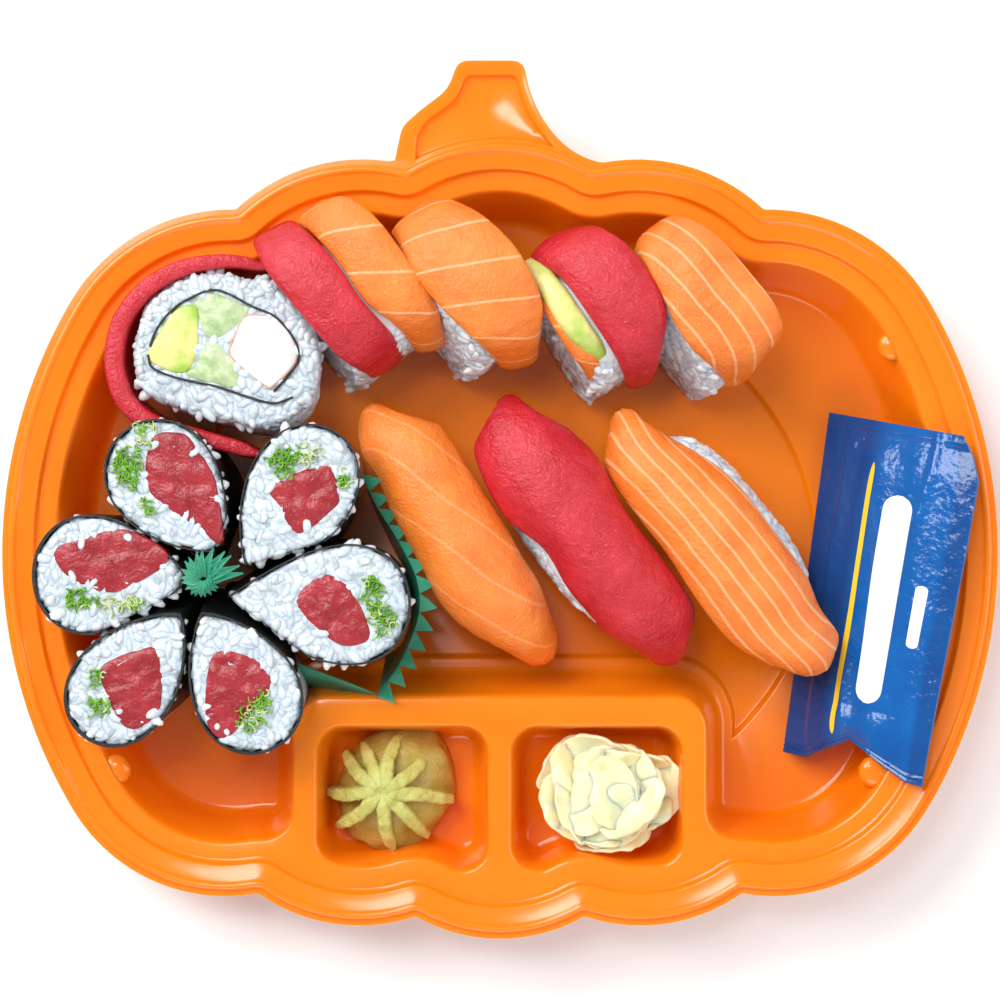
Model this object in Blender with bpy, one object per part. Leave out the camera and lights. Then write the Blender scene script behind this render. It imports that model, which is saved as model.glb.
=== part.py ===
"""A takeaway sushi tray, 240 mm wide: a thin formed tray in the shape of a pumpkin, with its stem, a large
compartment and two small wells, and everything served in it.

Every length below is in millimetres and every angle in degrees. The helpers turn them into Blender's metres.
The origin is on the underside, in the middle of the tray's box: +X is the tray's long side, +Y points to
the stem, and +Z is up."""

import math

import bmesh
import bpy
import numpy as np

MM = 0.001
GAP = 0.3  # what each item keeps from what it rests on

# Levels of the tray's upper surface, from the underside at 0.
WALL = 0.7
PANEL_Z = WALL
FLOOR_Z = 2.2
WELL_Z = 7.5
SHELF_Z = 23.5
LIP_Z = 24.9
BAND_Z = 25.2
BEAD_Z = 25.9
STEM_FLOOR_Z = 23.3

# The pumpkin's outline: lobes from the bottom middle to the top middle, on the +X side. The two side lobes
# touch the big side circle from inside, so their radii follow from it.
SIDE_CENTRE = (0.0, -13.0)
SIDE_RADIUS = 119.7
BOTTOM_LOBES = [((0.0, -65.1), 40.5), ((33.8, -60.4), 42.0)]
LOWER_SIDE_LOBE = (66.0, -52.6)
UPPER_SIDE_LOBE = (64.6, 25.0)
TOP_LOBES = [((33.1, 37.6), 44.2), ((0.0, 43.0), 44.0)]
NOTCH_RADIUS = 1.5
ARC_STEP = 7.5
SHORT_ARC_STEP = 3.2

# How far in from the outer edge each part of the rim starts.
BEAD_START, BEAD_END = 1.3, 3.6
RISER_START, RISER_END = 7.3, 8.3
POCKET_EDGE = 12.0

# The block between the large compartment and the two wells.
BLOCK_HALF_WIDTH = 49.2
BLOCK_TOP = -48.3
BLOCK_CORNER = 7.5
POCKET_CORNER = 8.0
WELL_X = (2.1, 44.9)
WELL_TOP = -54.0
WELL_CORNER = 7.0
WELL_EDGE = 13.2

# The sunk middle of the floor.
PANEL_HALF_SIZES = (79.5, 69.0)
PANEL_BLOCK_GAP = 8.4
PANEL_STEP = 1.6

# The stem: the corners of its outline from its foot on the -X side to its foot on the +X side, each with
# the radius that rounds it.
STEM_CORNERS = [
    ((-25.3, 81.6), 1.5), ((-23.6, 89.6), 6.0), ((-19.2, 93.6), 6.0), ((-12.6, 98.6), 9.0),
    ((-10.0, 105.6), 3.6), ((5.6, 105.6), 3.6), ((8.2, 93.0), 30.0), ((17.5, 83.0), 20.0), ((23.6, 81.2), 8.0),
]
STEM_FIELD_CORNERS = [
    ((-20.6, 81.3), 0.0), ((-20.4, 87.5), 5.0), ((-17.6, 91.6), 5.0), ((-10.8, 96.4), 8.0),
    ((-8.2, 102.4), 2.4), ((4.4, 102.4), 2.4), ((6.2, 94.0), 25.0), ((13.4, 84.4), 0.0),
]
STEM_FIELD_GAP = 0.8

# The standing rolls: where the tip and the back of the drop-shaped end are, how wide it is, how sharply it
# narrows, and how far its foot stands in from its top.
DROP_ROLLS = [
    ((-65.6, -12.2), (-88.7, 16.3), 26.0, 0.62, (2.0, -2.5)),
    ((-59.0, -18.2), (-38.9, 16.5), 26.0, 0.62, (-2.5, -3.5)),
    ((-66.5, -24.2), (-20.8, -25.0), 28.8, 1.15, (-4.0, 0.5)),
    ((-70.2, -26.6), (-52.7, -58.5), 25.4, 0.62, (-5.0, 8.0)),
    ((-75.4, -27.0), (-98.2, -55.7), 24.4, 0.62, (6.0, 7.0)),
    ((-73.8, -18.4), (-110.1, -17.3), 28.2, 0.70, (9.5, 0.0)),
]
DROP_ROLL_TOP = 38.0
FLOWER_CENTRE = (-69.6, -18.6)
FLOWER_HEART = 3.1  # what the rolls leave free round the flower's centre
# Neighbours press each other flat: the direction of each boundary, before the first roll and after each one.
FLOWER_BOUNDARIES = [145.0, 69.8, 16.7, -37.5, -101.6, -152.4, -215.0]

# The roll that lies with its cut face up.
FLAT_ROLL_CENTRE = (-68.2, 36.3)
FLAT_ROLL_HALF_SIZES = (23.6, 18.9)
FLAT_ROLL_TURN = -8.0
FLAT_ROLL_TOP = 30.0
FLAT_ROLL_LEAN = (1.6, -4.8)

# The rolls that stand on edge under their fish: middle, direction of the long side, length, thickness, height.
EDGE_ROLLS = [
    ((-34.4, 50.1), -51.5, 46.0, 21.4, 38.0),
    ((-7.2, 52.4), -52.0, 46.5, 20.8, 39.0),
    ((23.6, 46.8), -57.5, 45.0, 19.0, 36.0),
    ((50.0, 47.2), -51.5, 44.0, 21.2, 37.0),
]
EDGE_ROLL_LEAN = (-0.8, -9.0)
EDGE_ROLL_FOOT = 0.70  # the foot's length, as a share of the whole

# The nigiri: middle, direction, length, width, height, and how far up its far end lies.
NIGIRI = {
    "nigiri_salmon_1": ((-9.4, -10.2), -54.7, 75.0, 22.4, 33.0, 0.0),
    "nigiri_tuna": ((20.0, -6.8), -53.5, 76.0, 26.0, 34.0, 0.0),
    "nigiri_salmon_2": ((53.8, -10.2), -52.3, 78.0, 25.2, 32.0, 15.0),
}

WASABI_CENTRE = (-27.2, -70.9)
WASABI_RADIUS = 14.7
WASABI_RIDGES = 9
WASABI_HEIGHT = 16.5
WASABI_PROFILE = [(0.0, 0.72), (0.25, 0.97), (0.5, 0.92), (0.75, 0.66), (0.95, 0.3), (1.0, 0.12)]

GINGER_CENTRE = (25.4, -71.6)
GINGER_RADIUS = 17.0
GINGER_HEIGHT = 21.0
GINGER_PROFILE = [(0.0, 0.6), (0.25, 0.76), (0.5, 0.92), (0.75, 0.86), (0.95, 0.5), (1.0, 0.25)]

# The sauce packet: its corners, seen from above, from the one by the stem on the low side, clockwise.
PACKET_CORNERS = [(81.8, 21.6, 6.2), (113.4, 14.5, 32.8), (100.4, -68.4, 31.0), (70.4, -62.6, 5.8)]
PACKET_THICKNESS = 7.6
PACKET_SEAM = 0.9

# The green divider: a thin sheet that winds round the flower of rolls. Its foot and its upper edge.
GRASS_FOOT = [(-31.6, -2.0), (-27.0, -11.5), (-23.0, -19.5), (-22.0, -27.0), (-24.0, -35.0), (-28.5, -39.2)]
GRASS_TOP = [(-30.6, -1.0), (-25.6, -10.5), (-20.4, -19.5), (-19.2, -28.0), (-22.6, -38.0), (-30.0, -46.0)]
GRASS_HEIGHT = 27.0
GRASS_THICKNESS = 0.5
ROSETTE_STEM = 1.1
ROSETTE_RADIUS = 6.0
ROSETTE_TOP = 42.0

SLOTS = {
    "tray_plastic": ((1.0, 0.42, 0.04), 0.3),
    "cut_roll": ((0.82, 0.82, 0.84), 0.5),
    "salmon": ((0.95, 0.42, 0.14), 0.35),
    "tuna": ((0.62, 0.05, 0.06), 0.35),
    "wasabi": ((0.60, 0.58, 0.16), 0.6),
    "ginger": ((0.90, 0.82, 0.50), 0.4),
    "packet_film": ((0.02, 0.16, 0.50), 0.25),
    "grass_plastic": ((0.02, 0.35, 0.20), 0.3),
}


def clear_scene():
    for obj in list(bpy.data.objects):
        bpy.data.objects.remove(obj, do_unlink=True)


def material(slot):
    found = bpy.data.materials.get(slot)
    if found:
        return found
    colour, roughness = SLOTS[slot]
    made = bpy.data.materials.new(slot)
    made.use_nodes = True
    shader = made.node_tree.nodes["Principled BSDF"]
    shader.inputs["Base Color"].default_value = (*colour, 1.0)
    shader.inputs["Roughness"].default_value = roughness
    return made


def add_object(name, mesh_data, slot):
    """An object from a bmesh in millimetres, smooth except at its sharp edges."""
    bmesh.ops.scale(mesh_data, vec=(MM, MM, MM), verts=mesh_data.verts)
    mesh = bpy.data.meshes.new(name)
    mesh_data.to_mesh(mesh)
    mesh_data.free()
    mesh.materials.append(material(slot))
    mesh.shade_smooth()
    mesh.set_sharp_from_angle(angle=math.radians(40))
    obj = bpy.data.objects.new(name, mesh)
    bpy.context.scene.collection.objects.link(obj)
    return obj


def add_ring(mesh_data, points):
    return [mesh_data.verts.new(point) for point in points]


def bridge(mesh_data, lower, upper):
    """Quads between two rings with as many points as each other, facing out when both run anticlockwise."""
    for i in range(len(lower)):
        j = (i + 1) % len(lower)
        mesh_data.faces.new((lower[i], lower[j], upper[j], upper[i]))


def stacked_solid(name, rings, slot):
    """A closed solid through rings that lie one over the other, lowest first, with flat ends."""
    mesh_data = bmesh.new()
    made = [add_ring(mesh_data, ring) for ring in rings]
    for lower, upper in zip(made, made[1:]):
        bridge(mesh_data, lower, upper)
    ends = [mesh_data.faces.new(made[0][::-1]), mesh_data.faces.new(made[-1])]
    bmesh.ops.triangulate(mesh_data, faces=ends)
    bmesh.ops.recalc_face_normals(mesh_data, faces=mesh_data.faces)
    return add_object(name, mesh_data, slot)


# ---- outlines made of arcs -------------------------------------------------------------------------------

def direction(from_point, to_point):
    return math.atan2(to_point[1] - from_point[1], to_point[0] - from_point[0])


def meeting_point(centre_a, radius_a, centre_b, radius_b):
    """Where two circles cross, on the right of the way from the first centre to the second."""
    apart = math.dist(centre_a, centre_b)
    along = (apart**2 + radius_a**2 - radius_b**2) / (2 * apart)
    aside = math.sqrt(radius_a**2 - along**2)
    ux, uy = (centre_b[0] - centre_a[0]) / apart, (centre_b[1] - centre_a[1]) / apart
    return centre_a[0] + along * ux + aside * uy, centre_a[1] + along * uy - aside * ux


def convex_arc(centre, radius, start, end):
    """An arc that bulges out of an outline that runs anticlockwise. Its angles grow."""
    return centre, radius, start, start + (end - start) % (2 * math.pi), 1


def concave_arc(centre, radius, start, end):
    """An arc that bites into the outline, so its angles fall."""
    return centre, radius, start, start - (start - end) % (2 * math.pi), -1


def notch_between(lobe_a, lobe_b):
    """The small arc that rounds the notch where one lobe meets the next."""
    (centre_a, radius_a), (centre_b, radius_b) = lobe_a, lobe_b
    centre = meeting_point(centre_a, radius_a + NOTCH_RADIUS, centre_b, radius_b + NOTCH_RADIUS)
    return concave_arc(centre, NOTCH_RADIUS, direction(centre, centre_a), direction(centre, centre_b))


def mirrored(arcs):
    """The same arcs on the -X side, in the order that carries on an anticlockwise outline."""
    return [
        ((-centre[0], centre[1]), radius, math.pi - end, math.pi - start, turn)
        for centre, radius, start, end, turn in arcs[::-1]
    ]


def outline(arcs, inset=0.0, step=ARC_STEP):
    """The outline's points, moved in by the inset. Straight stretches are what lies between two arcs."""
    points = []
    for centre, radius, start, end, turn in arcs:
        fine = min(step, SHORT_ARC_STEP) if radius < 10 else step
        count = max(2, math.ceil(abs(end - start) * max(radius, 6.0) / fine))
        moved = radius - turn * inset
        for i in range(count + 1):
            angle = start + (end - start) * i / count
            point = (centre[0] + moved * math.cos(angle), centre[1] + moved * math.sin(angle))
            points.append(point)
    kept = [p for p, before in zip(points, points[-1:] + points) if math.dist(p, before) > 0.02]
    return kept


def at_height(points, z):
    return [(x, y, z) for x, y in points]


def touching_lobe(centre):
    return centre, SIDE_RADIUS - math.dist(centre, SIDE_CENTRE)


def pumpkin_half():
    """Arcs from the bottom middle to the top middle, up the +X side."""
    lobes = [*BOTTOM_LOBES, touching_lobe(LOWER_SIDE_LOBE)]
    upper = [touching_lobe(UPPER_SIDE_LOBE), *TOP_LOBES]
    arcs = []
    start = -math.pi / 2
    for lobe, following in zip(lobes, lobes[1:]):
        notch = notch_between(lobe, following)
        arcs.append(convex_arc(*lobe, start, notch[2] + math.pi))
        arcs.append(notch)
        start = notch[3] + math.pi
    lower_touch = direction(SIDE_CENTRE, LOWER_SIDE_LOBE)
    upper_touch = direction(SIDE_CENTRE, UPPER_SIDE_LOBE)
    arcs.append(convex_arc(*lobes[-1], start, lower_touch))
    arcs.append(convex_arc(SIDE_CENTRE, SIDE_RADIUS, lower_touch, upper_touch))
    start = upper_touch
    for lobe, following in zip(upper, upper[1:]):
        notch = notch_between(lobe, following)
        arcs.append(convex_arc(*lobe, start, notch[2] + math.pi))
        arcs.append(notch)
        start = notch[3] + math.pi
    arcs.append(convex_arc(*upper[-1], start, math.pi / 2))
    return arcs


def pocket_half():
    """The large compartment's upper edge, from the middle of the block to the top middle, on the +X side.
    It leaves the pumpkin's edge at the notch beside the block."""
    grown = [(c, r - turn * POCKET_EDGE, a, b, turn) for c, r, a, b, turn in pumpkin_half()]
    notch_centre, notch_radius, _, notch_end, _ = grown[3]
    corner_x = BLOCK_HALF_WIDTH + POCKET_CORNER
    reach = notch_radius + POCKET_CORNER
    corner_y = notch_centre[1] + math.sqrt(reach**2 - (corner_x - notch_centre[0]) ** 2)
    corner = (corner_x, corner_y)
    block_corner = (BLOCK_HALF_WIDTH - BLOCK_CORNER, BLOCK_TOP - BLOCK_CORNER)
    return [
        concave_arc(block_corner, BLOCK_CORNER, math.pi / 2, 0.0),
        convex_arc(corner, POCKET_CORNER, math.pi, direction(corner, notch_centre)),
        concave_arc(notch_centre, notch_radius, direction(notch_centre, corner), notch_end),
        *grown[4:],
    ]


def well_arcs():
    """The well on the +X side. Its lower edge follows the pumpkin's lobes."""
    half = pumpkin_half()
    (middle, middle_radius), (inner, inner_radius) = BOTTOM_LOBES
    notch = half[1]
    left = WELL_X[0] + WELL_CORNER
    right = WELL_X[1] - WELL_CORNER
    reach_left = middle_radius - WELL_EDGE - WELL_CORNER
    reach_right = inner_radius - WELL_EDGE - WELL_CORNER
    low_left = (left, middle[1] - math.sqrt(reach_left**2 - (left - middle[0]) ** 2))
    low_right = (right, inner[1] - math.sqrt(reach_right**2 - (right - inner[0]) ** 2))
    top = WELL_TOP - WELL_CORNER
    turn_left = direction(middle, low_left)
    turn_right = direction(inner, low_right)
    return [
        convex_arc(low_left, WELL_CORNER, math.pi, turn_left),
        convex_arc(middle, middle_radius - WELL_EDGE, turn_left, notch[2] + math.pi),
        concave_arc(notch[0], notch[1] + WELL_EDGE, notch[2], notch[3]),
        convex_arc(inner, inner_radius - WELL_EDGE, notch[3] + math.pi, turn_right),
        convex_arc(low_right, WELL_CORNER, turn_right, 0.0),
        convex_arc((right, top), WELL_CORNER, 0.0, math.pi / 2),
        convex_arc((left, top), WELL_CORNER, math.pi / 2, math.pi),
    ]


def rounded_path(corners, step=SHORT_ARC_STEP):
    """Points along an open path whose corners are rounded, each by its own radius."""
    points = [corners[0][0]]
    for (before, _), (corner, radius), (after, _) in zip(corners, corners[1:], corners[2:]):
        corner = np.array(corner)
        to_before = np.array(before) - corner
        to_after = np.array(after) - corner
        to_before /= np.linalg.norm(to_before)
        to_after /= np.linalg.norm(to_after)
        half = math.acos(float(np.clip(to_before @ to_after, -1, 1))) / 2
        cut = radius / math.tan(half)
        first, last = corner + cut * to_before, corner + cut * to_after
        count = max(1, math.ceil((math.pi - 2 * half) * radius / step))
        for i in range(count + 1):
            t = i / count
            points.append(tuple((1 - t) ** 2 * first + 2 * t * (1 - t) * corner + t * t * last))
    points.append(corners[-1][0])
    return points


def moved_in(points, distance):
    """A closed anticlockwise outline moved in by a distance, point by point along its normals."""
    loop = np.array(points)
    before = loop - np.roll(loop, 1, axis=0)
    after = np.roll(loop, -1, axis=0) - loop
    before /= np.linalg.norm(before, axis=1)[:, None]
    after /= np.linalg.norm(after, axis=1)[:, None]
    normal = np.stack([-(before + after)[:, 1], (before + after)[:, 0]], axis=1)
    length = np.linalg.norm(normal, axis=1)[:, None]
    stretch = np.minimum(2 / length, 1.6)
    return [tuple(p) for p in loop + normal / length * stretch * distance]


def stem_panel():
    """The sunk field of the stem, closed below by an arc just outside the bead of the top middle lobe."""
    path = rounded_path(STEM_FIELD_CORNERS)[::-1]
    centre, radius = TOP_LOBES[-1]
    foot_radius = radius - BEAD_START + STEM_FIELD_GAP
    start, end = direction(centre, path[-1]), direction(centre, path[0])
    angles = np.linspace(start, end, 8)[1:-1]
    foot = [(centre[0] + foot_radius * math.cos(a), centre[1] + foot_radius * math.sin(a)) for a in angles]
    return [*path, *foot]


def rim_outline():
    """The tray's outer edge: the pumpkin's, with the stem in place of the top middle lobe's outer part."""
    half = pumpkin_half()
    points = outline([*half, *mirrored(half)])
    stem = rounded_path(STEM_CORNERS)
    left, right = stem[0][0], stem[-1][0]
    centre_y = TOP_LOBES[-1][0][1]
    rest = [p for p in points if not (left - 0.5 < p[0] < right + 0.5 and p[1] > centre_y)]
    gap = max(range(len(rest)), key=lambda i: math.dist(rest[i], rest[(i + 1) % len(rest)]))
    return [*rest[: gap + 1], *stem[::-1], *rest[gap + 1 :]]


def fill_between(mesh_data, rings):
    """Triangles over a flat area: inside the first ring and outside the others."""
    edges = []
    for ring in rings:
        for vert, following in zip(ring, ring[1:] + ring[:1]):
            edges.append(mesh_data.edges.get((vert, following)) or mesh_data.edges.new((vert, following)))
    made = bmesh.ops.triangle_fill(mesh_data, edges=edges, use_beauty=True, normal=(0, 0, 1))
    for face in made["geom"]:
        if isinstance(face, bmesh.types.BMFace):
            face.normal_update()
            if face.normal.z < 0:
                face.normal_flip()


def run_down(mesh_data, arcs, profile, first=None):
    """Rings of an arc outline along a profile of (inset, height), bridged. Returns the first and the last."""
    rings = [] if first is None else [first]
    for inset, z in profile[len(rings):]:
        rings.append(add_ring(mesh_data, at_height(outline(arcs, inset), z)))
    for outer, inner in zip(rings, rings[1:]):
        bridge(mesh_data, outer, inner)
    return rings[0], rings[-1]


def panel_outline():
    """The sunk panel: an ellipse whose lower part makes way for the block."""
    half_x, half_y = PANEL_HALF_SIZES
    side = BLOCK_HALF_WIDTH + PANEL_BLOCK_GAP
    top = BLOCK_TOP + PANEL_BLOCK_GAP
    start = -math.acos(side / half_x)
    end = math.pi - start
    count = 34
    ellipse = [
        (half_x * math.cos(a), SIDE_CENTRE[1] + half_y * math.sin(a))
        for a in np.linspace(start, end, count)
    ]
    radius = BLOCK_CORNER + PANEL_BLOCK_GAP
    corner = convex_arc((side - radius, top - radius), radius, 0.0, math.pi / 2)
    right = outline([corner])
    left = [(-x, y) for x, y in right]
    return [*ellipse, *left[1:], *right[:0:-1]]


def add_underside(mesh_data):
    """Makes the open upper surface a closed wall: a copy moved down by the wall's thickness along each
    point's normal, turned over, and joined to it round the rim. The panel's underside lies at 0."""
    mesh_data.normal_update()
    border = [edge for edge in mesh_data.edges if edge.is_boundary]
    faces = list(mesh_data.faces)
    under = {}
    for vert in list(mesh_data.verts):
        point = vert.co - vert.normal * WALL
        if vert.co.z - PANEL_Z < GAP:
            point.z = 0.0
        under[vert] = mesh_data.verts.new(point)
    for edge in border:
        loop = edge.link_loops[0]
        ahead, behind = loop.vert, loop.link_loop_next.vert
        mesh_data.faces.new((behind, ahead, under[ahead], under[behind]))
    for face in faces:
        mesh_data.faces.new([under[vert] for vert in face.verts][::-1])


def build_tray():
    mesh_data = bmesh.new()
    half = pumpkin_half()
    pumpkin = [*half, *mirrored(half)]
    pocket = pocket_half()
    pocket = [*pocket, *mirrored(pocket)]
    bead_inset = (BEAD_END - BEAD_START) / 4
    lip, shelf = run_down(mesh_data, pumpkin, [
        (BEAD_START, LIP_Z), (BEAD_START + bead_inset, BEAD_Z), (BEAD_END - bead_inset, BEAD_Z),
        (BEAD_END, BAND_Z), (RISER_START, BAND_Z), (RISER_END, SHELF_Z),
    ])
    pocket_edge, floor_edge = run_down(mesh_data, pocket, [
        (0.0, SHELF_Z), (0.8, SHELF_Z - 1.0), (5.0, FLOOR_Z + 2.0), (7.0, FLOOR_Z),
    ])
    well_edges = []
    right_well = well_arcs()
    for arcs in (right_well, mirrored(right_well)):
        edge, well_floor = run_down(mesh_data, arcs, [
            (0.0, SHELF_Z), (0.8, SHELF_Z - 1.0), (3.2, WELL_Z + 2.0), (5.2, WELL_Z),
        ])
        fill_between(mesh_data, [well_floor])
        well_edges.append(edge)
    fill_between(mesh_data, [shelf, pocket_edge, *well_edges])

    panel = panel_outline()
    step_top = add_ring(mesh_data, at_height(panel, FLOOR_Z))
    step_foot = add_ring(mesh_data, at_height(moved_in(panel, PANEL_STEP), PANEL_Z))
    bridge(mesh_data, step_top, step_foot)
    fill_between(mesh_data, [floor_edge, step_top])
    fill_between(mesh_data, [step_foot])

    stem_field = stem_panel()
    stem_edge = add_ring(mesh_data, at_height(stem_field, LIP_Z))
    stem_foot = add_ring(mesh_data, at_height(moved_in(stem_field, 0.9), STEM_FLOOR_Z))
    bridge(mesh_data, stem_edge, stem_foot)
    fill_between(mesh_data, [stem_foot])
    rim = add_ring(mesh_data, at_height(rim_outline(), LIP_Z))
    fill_between(mesh_data, [rim, lip, stem_edge])

    add_underside(mesh_data)
    return add_object("tray", mesh_data, "tray_plastic")


# ---- food ------------------------------------------------------------------------------------------------

def turned(points, angle):
    c, s = math.cos(angle), math.sin(angle)
    return [(x * c - y * s, x * s + y * c) for x, y in points]


def pressed_flat(x, y, number):
    """A point of a roll moved to its own side of the planes that it shares with its neighbours."""
    for boundary, side in ((FLOWER_BOUNDARIES[number - 1], -1), (FLOWER_BOUNDARIES[number], 1)):
        angle = math.radians(boundary)
        nx, ny = -math.sin(angle) * side, math.cos(angle) * side
        inside = (x - FLOWER_CENTRE[0]) * nx + (y - FLOWER_CENTRE[1]) * ny - GAP / 2
        if inside < 0:
            x, y = x - inside * nx, y - inside * ny
    reach = math.dist((x, y), FLOWER_CENTRE)
    if reach < FLOWER_HEART:
        middle = math.radians((FLOWER_BOUNDARIES[number - 1] + FLOWER_BOUNDARIES[number]) / 2)
        along = math.sqrt(FLOWER_HEART**2 - reach**2)
        x, y = x + along * math.cos(middle), y + along * math.sin(middle)
    return x, y


def build_drop_roll(number, tip, back, width, sharpness, lean):
    """A standing roll whose end has the shape of a drop, leaning out from the flower's middle."""
    count = 20
    length = math.dist(tip, back)
    middle = ((tip[0] + back[0]) / 2, (tip[1] + back[1]) / 2)
    widest = max(math.sin(t) * math.sin(t / 2) ** sharpness for t in np.linspace(0, math.pi, 50))
    loop = []
    for i in range(count):
        t = 2 * math.pi * (i + 0.5) / count
        side = math.sin(t) * abs(math.sin(t / 2)) ** sharpness / widest
        loop.append((math.cos(t) * length / 2, side * width / 2))
    loop = turned(loop, direction(back, tip))
    foot = (PANEL_Z if abs(middle[0]) < 60 and middle[0] > -52 else FLOOR_Z) + GAP
    rings = []
    for share, scale in ((0.0, 0.93), (0.06, 0.98), (0.94, 1.0), (1.0, 0.96)):
        dx, dy = middle[0] + lean[0] * (1 - share), middle[1] + lean[1] * (1 - share)
        z = foot + (DROP_ROLL_TOP - foot) * share
        rings.append([(*pressed_flat(dx + x * scale, dy + y * scale, number), z) for x, y in loop])
    return stacked_solid(f"teardrop_roll_{number}", rings, "cut_roll")


def build_flat_roll():
    count = 24
    half_x, half_y = FLAT_ROLL_HALF_SIZES
    loop = []
    for i in range(count):
        t = 2 * math.pi * i / count
        c, s = math.cos(t), math.sin(t)
        loop.append((half_x * math.copysign(abs(c) ** 0.85, c), half_y * math.copysign(abs(s) ** 0.85, s)))
    loop = turned(loop, math.radians(FLAT_ROLL_TURN))
    foot = FLOOR_Z + GAP
    rings = []
    for share, scale in ((0.0, 0.80), (0.08, 0.86), (0.9, 1.0), (1.0, 0.96)):
        dx = FLAT_ROLL_CENTRE[0] + FLAT_ROLL_LEAN[0] * (1 - share)
        dy = FLAT_ROLL_CENTRE[1] + FLAT_ROLL_LEAN[1] * (1 - share)
        z = foot + (FLAT_ROLL_TOP - foot) * share
        rings.append([(dx + x * scale, dy + y * scale, z) for x, y in loop])
    return stacked_solid("rainbow_roll_flat", rings, "cut_roll")


def build_edge_roll(number, middle, heading, length, thickness, height):
    """A slice of roll on edge: a round-topped cross-section with a flat foot, as thick as the slice."""
    count = 20
    foot = FLOOR_Z + GAP
    section = []
    for i in range(count):
        t = 2 * math.pi * i / count
        c, s = math.cos(t), math.sin(t)
        along = length / 2 * math.copysign(abs(c) ** 0.8, c)
        up = (1 + math.copysign(abs(s) ** (0.8 if s > 0 else 0.45), s)) / 2
        section.append((along, up))
    angle = math.radians(heading)
    ux, uy = math.cos(angle), math.sin(angle)
    rings = []
    for share, scale in ((-0.5, 0.93), (-0.42, 0.99), (0.42, 0.99), (0.5, 0.93)):
        x, y = middle[0] + uy * thickness * share, middle[1] - ux * thickness * share
        ring = []
        for along, up in section:
            dx, dy = EDGE_ROLL_LEAN[0] * (1 - up), EDGE_ROLL_LEAN[1] * (1 - up)
            z = foot + (height - foot) * up * scale
            reach = along * scale * (EDGE_ROLL_FOOT + (1 - EDGE_ROLL_FOOT) * up)
            ring.append((x + dx + ux * reach, y + dy + uy * reach, z))
        rings.append(ring)
    rings = [ring[::-1] for ring in rings]
    return stacked_solid(f"rainbow_roll_{number}", rings, "salmon" if number != 3 else "tuna")


def build_nigiri(name, middle, heading, length, width, height, tip_rise):
    """A hand-pressed bar of rice under a slice of fish, which overhangs it at both ends."""
    count = 12
    stations = 9
    foot = PANEL_Z + GAP
    angle = math.radians(heading)
    ux, uy = math.cos(angle), math.sin(angle)
    rings = []
    for i in range(stations):
        s = -1 + 2 * i / (stations - 1)
        s = math.copysign(abs(s) ** 0.8, s)
        round_end = max(0.0, 1 - abs(s) ** 2.6)
        half_width = width / 2 * (0.42 + 0.58 * round_end**0.5)
        overhang = max(0.0, (abs(s) - 0.58) / 0.42)
        low = foot + overhang * (5.0 + (tip_rise if s > 0 else 0.0))
        high = max(low + 6.0, foot + (height - foot) * (0.55 + 0.45 * round_end**0.6))
        ring = []
        for k in range(count):
            t = 2 * math.pi * k / count
            c, sn = math.cos(t), math.sin(t)
            side = half_width * math.copysign(abs(c) ** 0.75, c) * (1.0 if sn > 0 else 0.86)
            z = (low + high) / 2 + (high - low) / 2 * math.copysign(abs(sn) ** 0.75, sn)
            x = middle[0] + ux * s * length / 2 - uy * side
            y = middle[1] + uy * s * length / 2 + ux * side
            ring.append((x, y, z))
        rings.append(ring)
    return stacked_solid(name, rings, "tuna" if "tuna" in name else "salmon")


def build_heap(name, centre, radius, height, foot, profile, swell):
    """A heap: rings that shrink towards the top, with an outline that the swell makes uneven."""
    count = 36
    rings = []
    for share, scale in profile:
        ring = []
        for i in range(count):
            t = 2 * math.pi * i / count
            r = radius * scale * swell(t, share)
            ring.append((centre[0] + r * math.cos(t), centre[1] + r * math.sin(t), foot + height * share))
        rings.append(ring)
    return stacked_solid(name, rings, name)


def wasabi_swell(angle, share):
    """Deep ridges from a star nozzle, all the way up."""
    return 0.88 + 0.12 * math.cos(WASABI_RIDGES * angle) * (1 - 0.3 * share)


def ginger_swell(angle, share):
    return 0.93 + 0.04 * math.cos(3 * angle + 1.0) + 0.03 * math.cos(7 * angle + 4 * share)


def build_packet():
    """A filled pillow between two seams, lying on the floor on one side and on the rim on the other."""
    columns, rows = 8, 10
    a, b, c, d = (np.array(corner) for corner in PACKET_CORNERS)
    normal = np.cross(b - a, d - a)
    normal = normal / np.linalg.norm(normal) * (1 if np.cross(b - a, d - a)[2] > 0 else -1)
    mesh_data = bmesh.new()
    sheets = []
    for face in (1, -1):
        sheet = []
        for r in range(rows + 1):
            v = r / rows
            line = []
            for q in range(columns + 1):
                u = q / columns
                at = (1 - v) * ((1 - u) * a + u * b) + v * ((1 - u) * d + u * c)
                full = (1 - abs(2 * u - 1) ** 2.5) * (1 - abs(2 * v - 1) ** 4)
                half = PACKET_SEAM / 2 + (PACKET_THICKNESS / 2 - PACKET_SEAM / 2) * full
                line.append(mesh_data.verts.new(at + normal * half * face))
            sheet.append(line)
        sheets.append(sheet)
    upper, lower = sheets
    for r in range(rows):
        for q in range(columns):
            mesh_data.faces.new((upper[r][q], upper[r + 1][q], upper[r + 1][q + 1], upper[r][q + 1]))
            mesh_data.faces.new((lower[r][q], lower[r][q + 1], lower[r + 1][q + 1], lower[r + 1][q]))
    border = [(0, q) for q in range(columns)] + [(r, columns) for r in range(rows)]
    border += [(rows, q) for q in range(columns, 0, -1)] + [(r, 0) for r in range(rows, 0, -1)]
    for (r, q), (r2, q2) in zip(border, border[1:] + border[:1]):
        mesh_data.faces.new((upper[r][q], upper[r2][q2], lower[r2][q2], lower[r][q]))
    bmesh.ops.recalc_face_normals(mesh_data, faces=mesh_data.faces)
    return add_object("sauce_packet", mesh_data, "packet_film")


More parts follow.
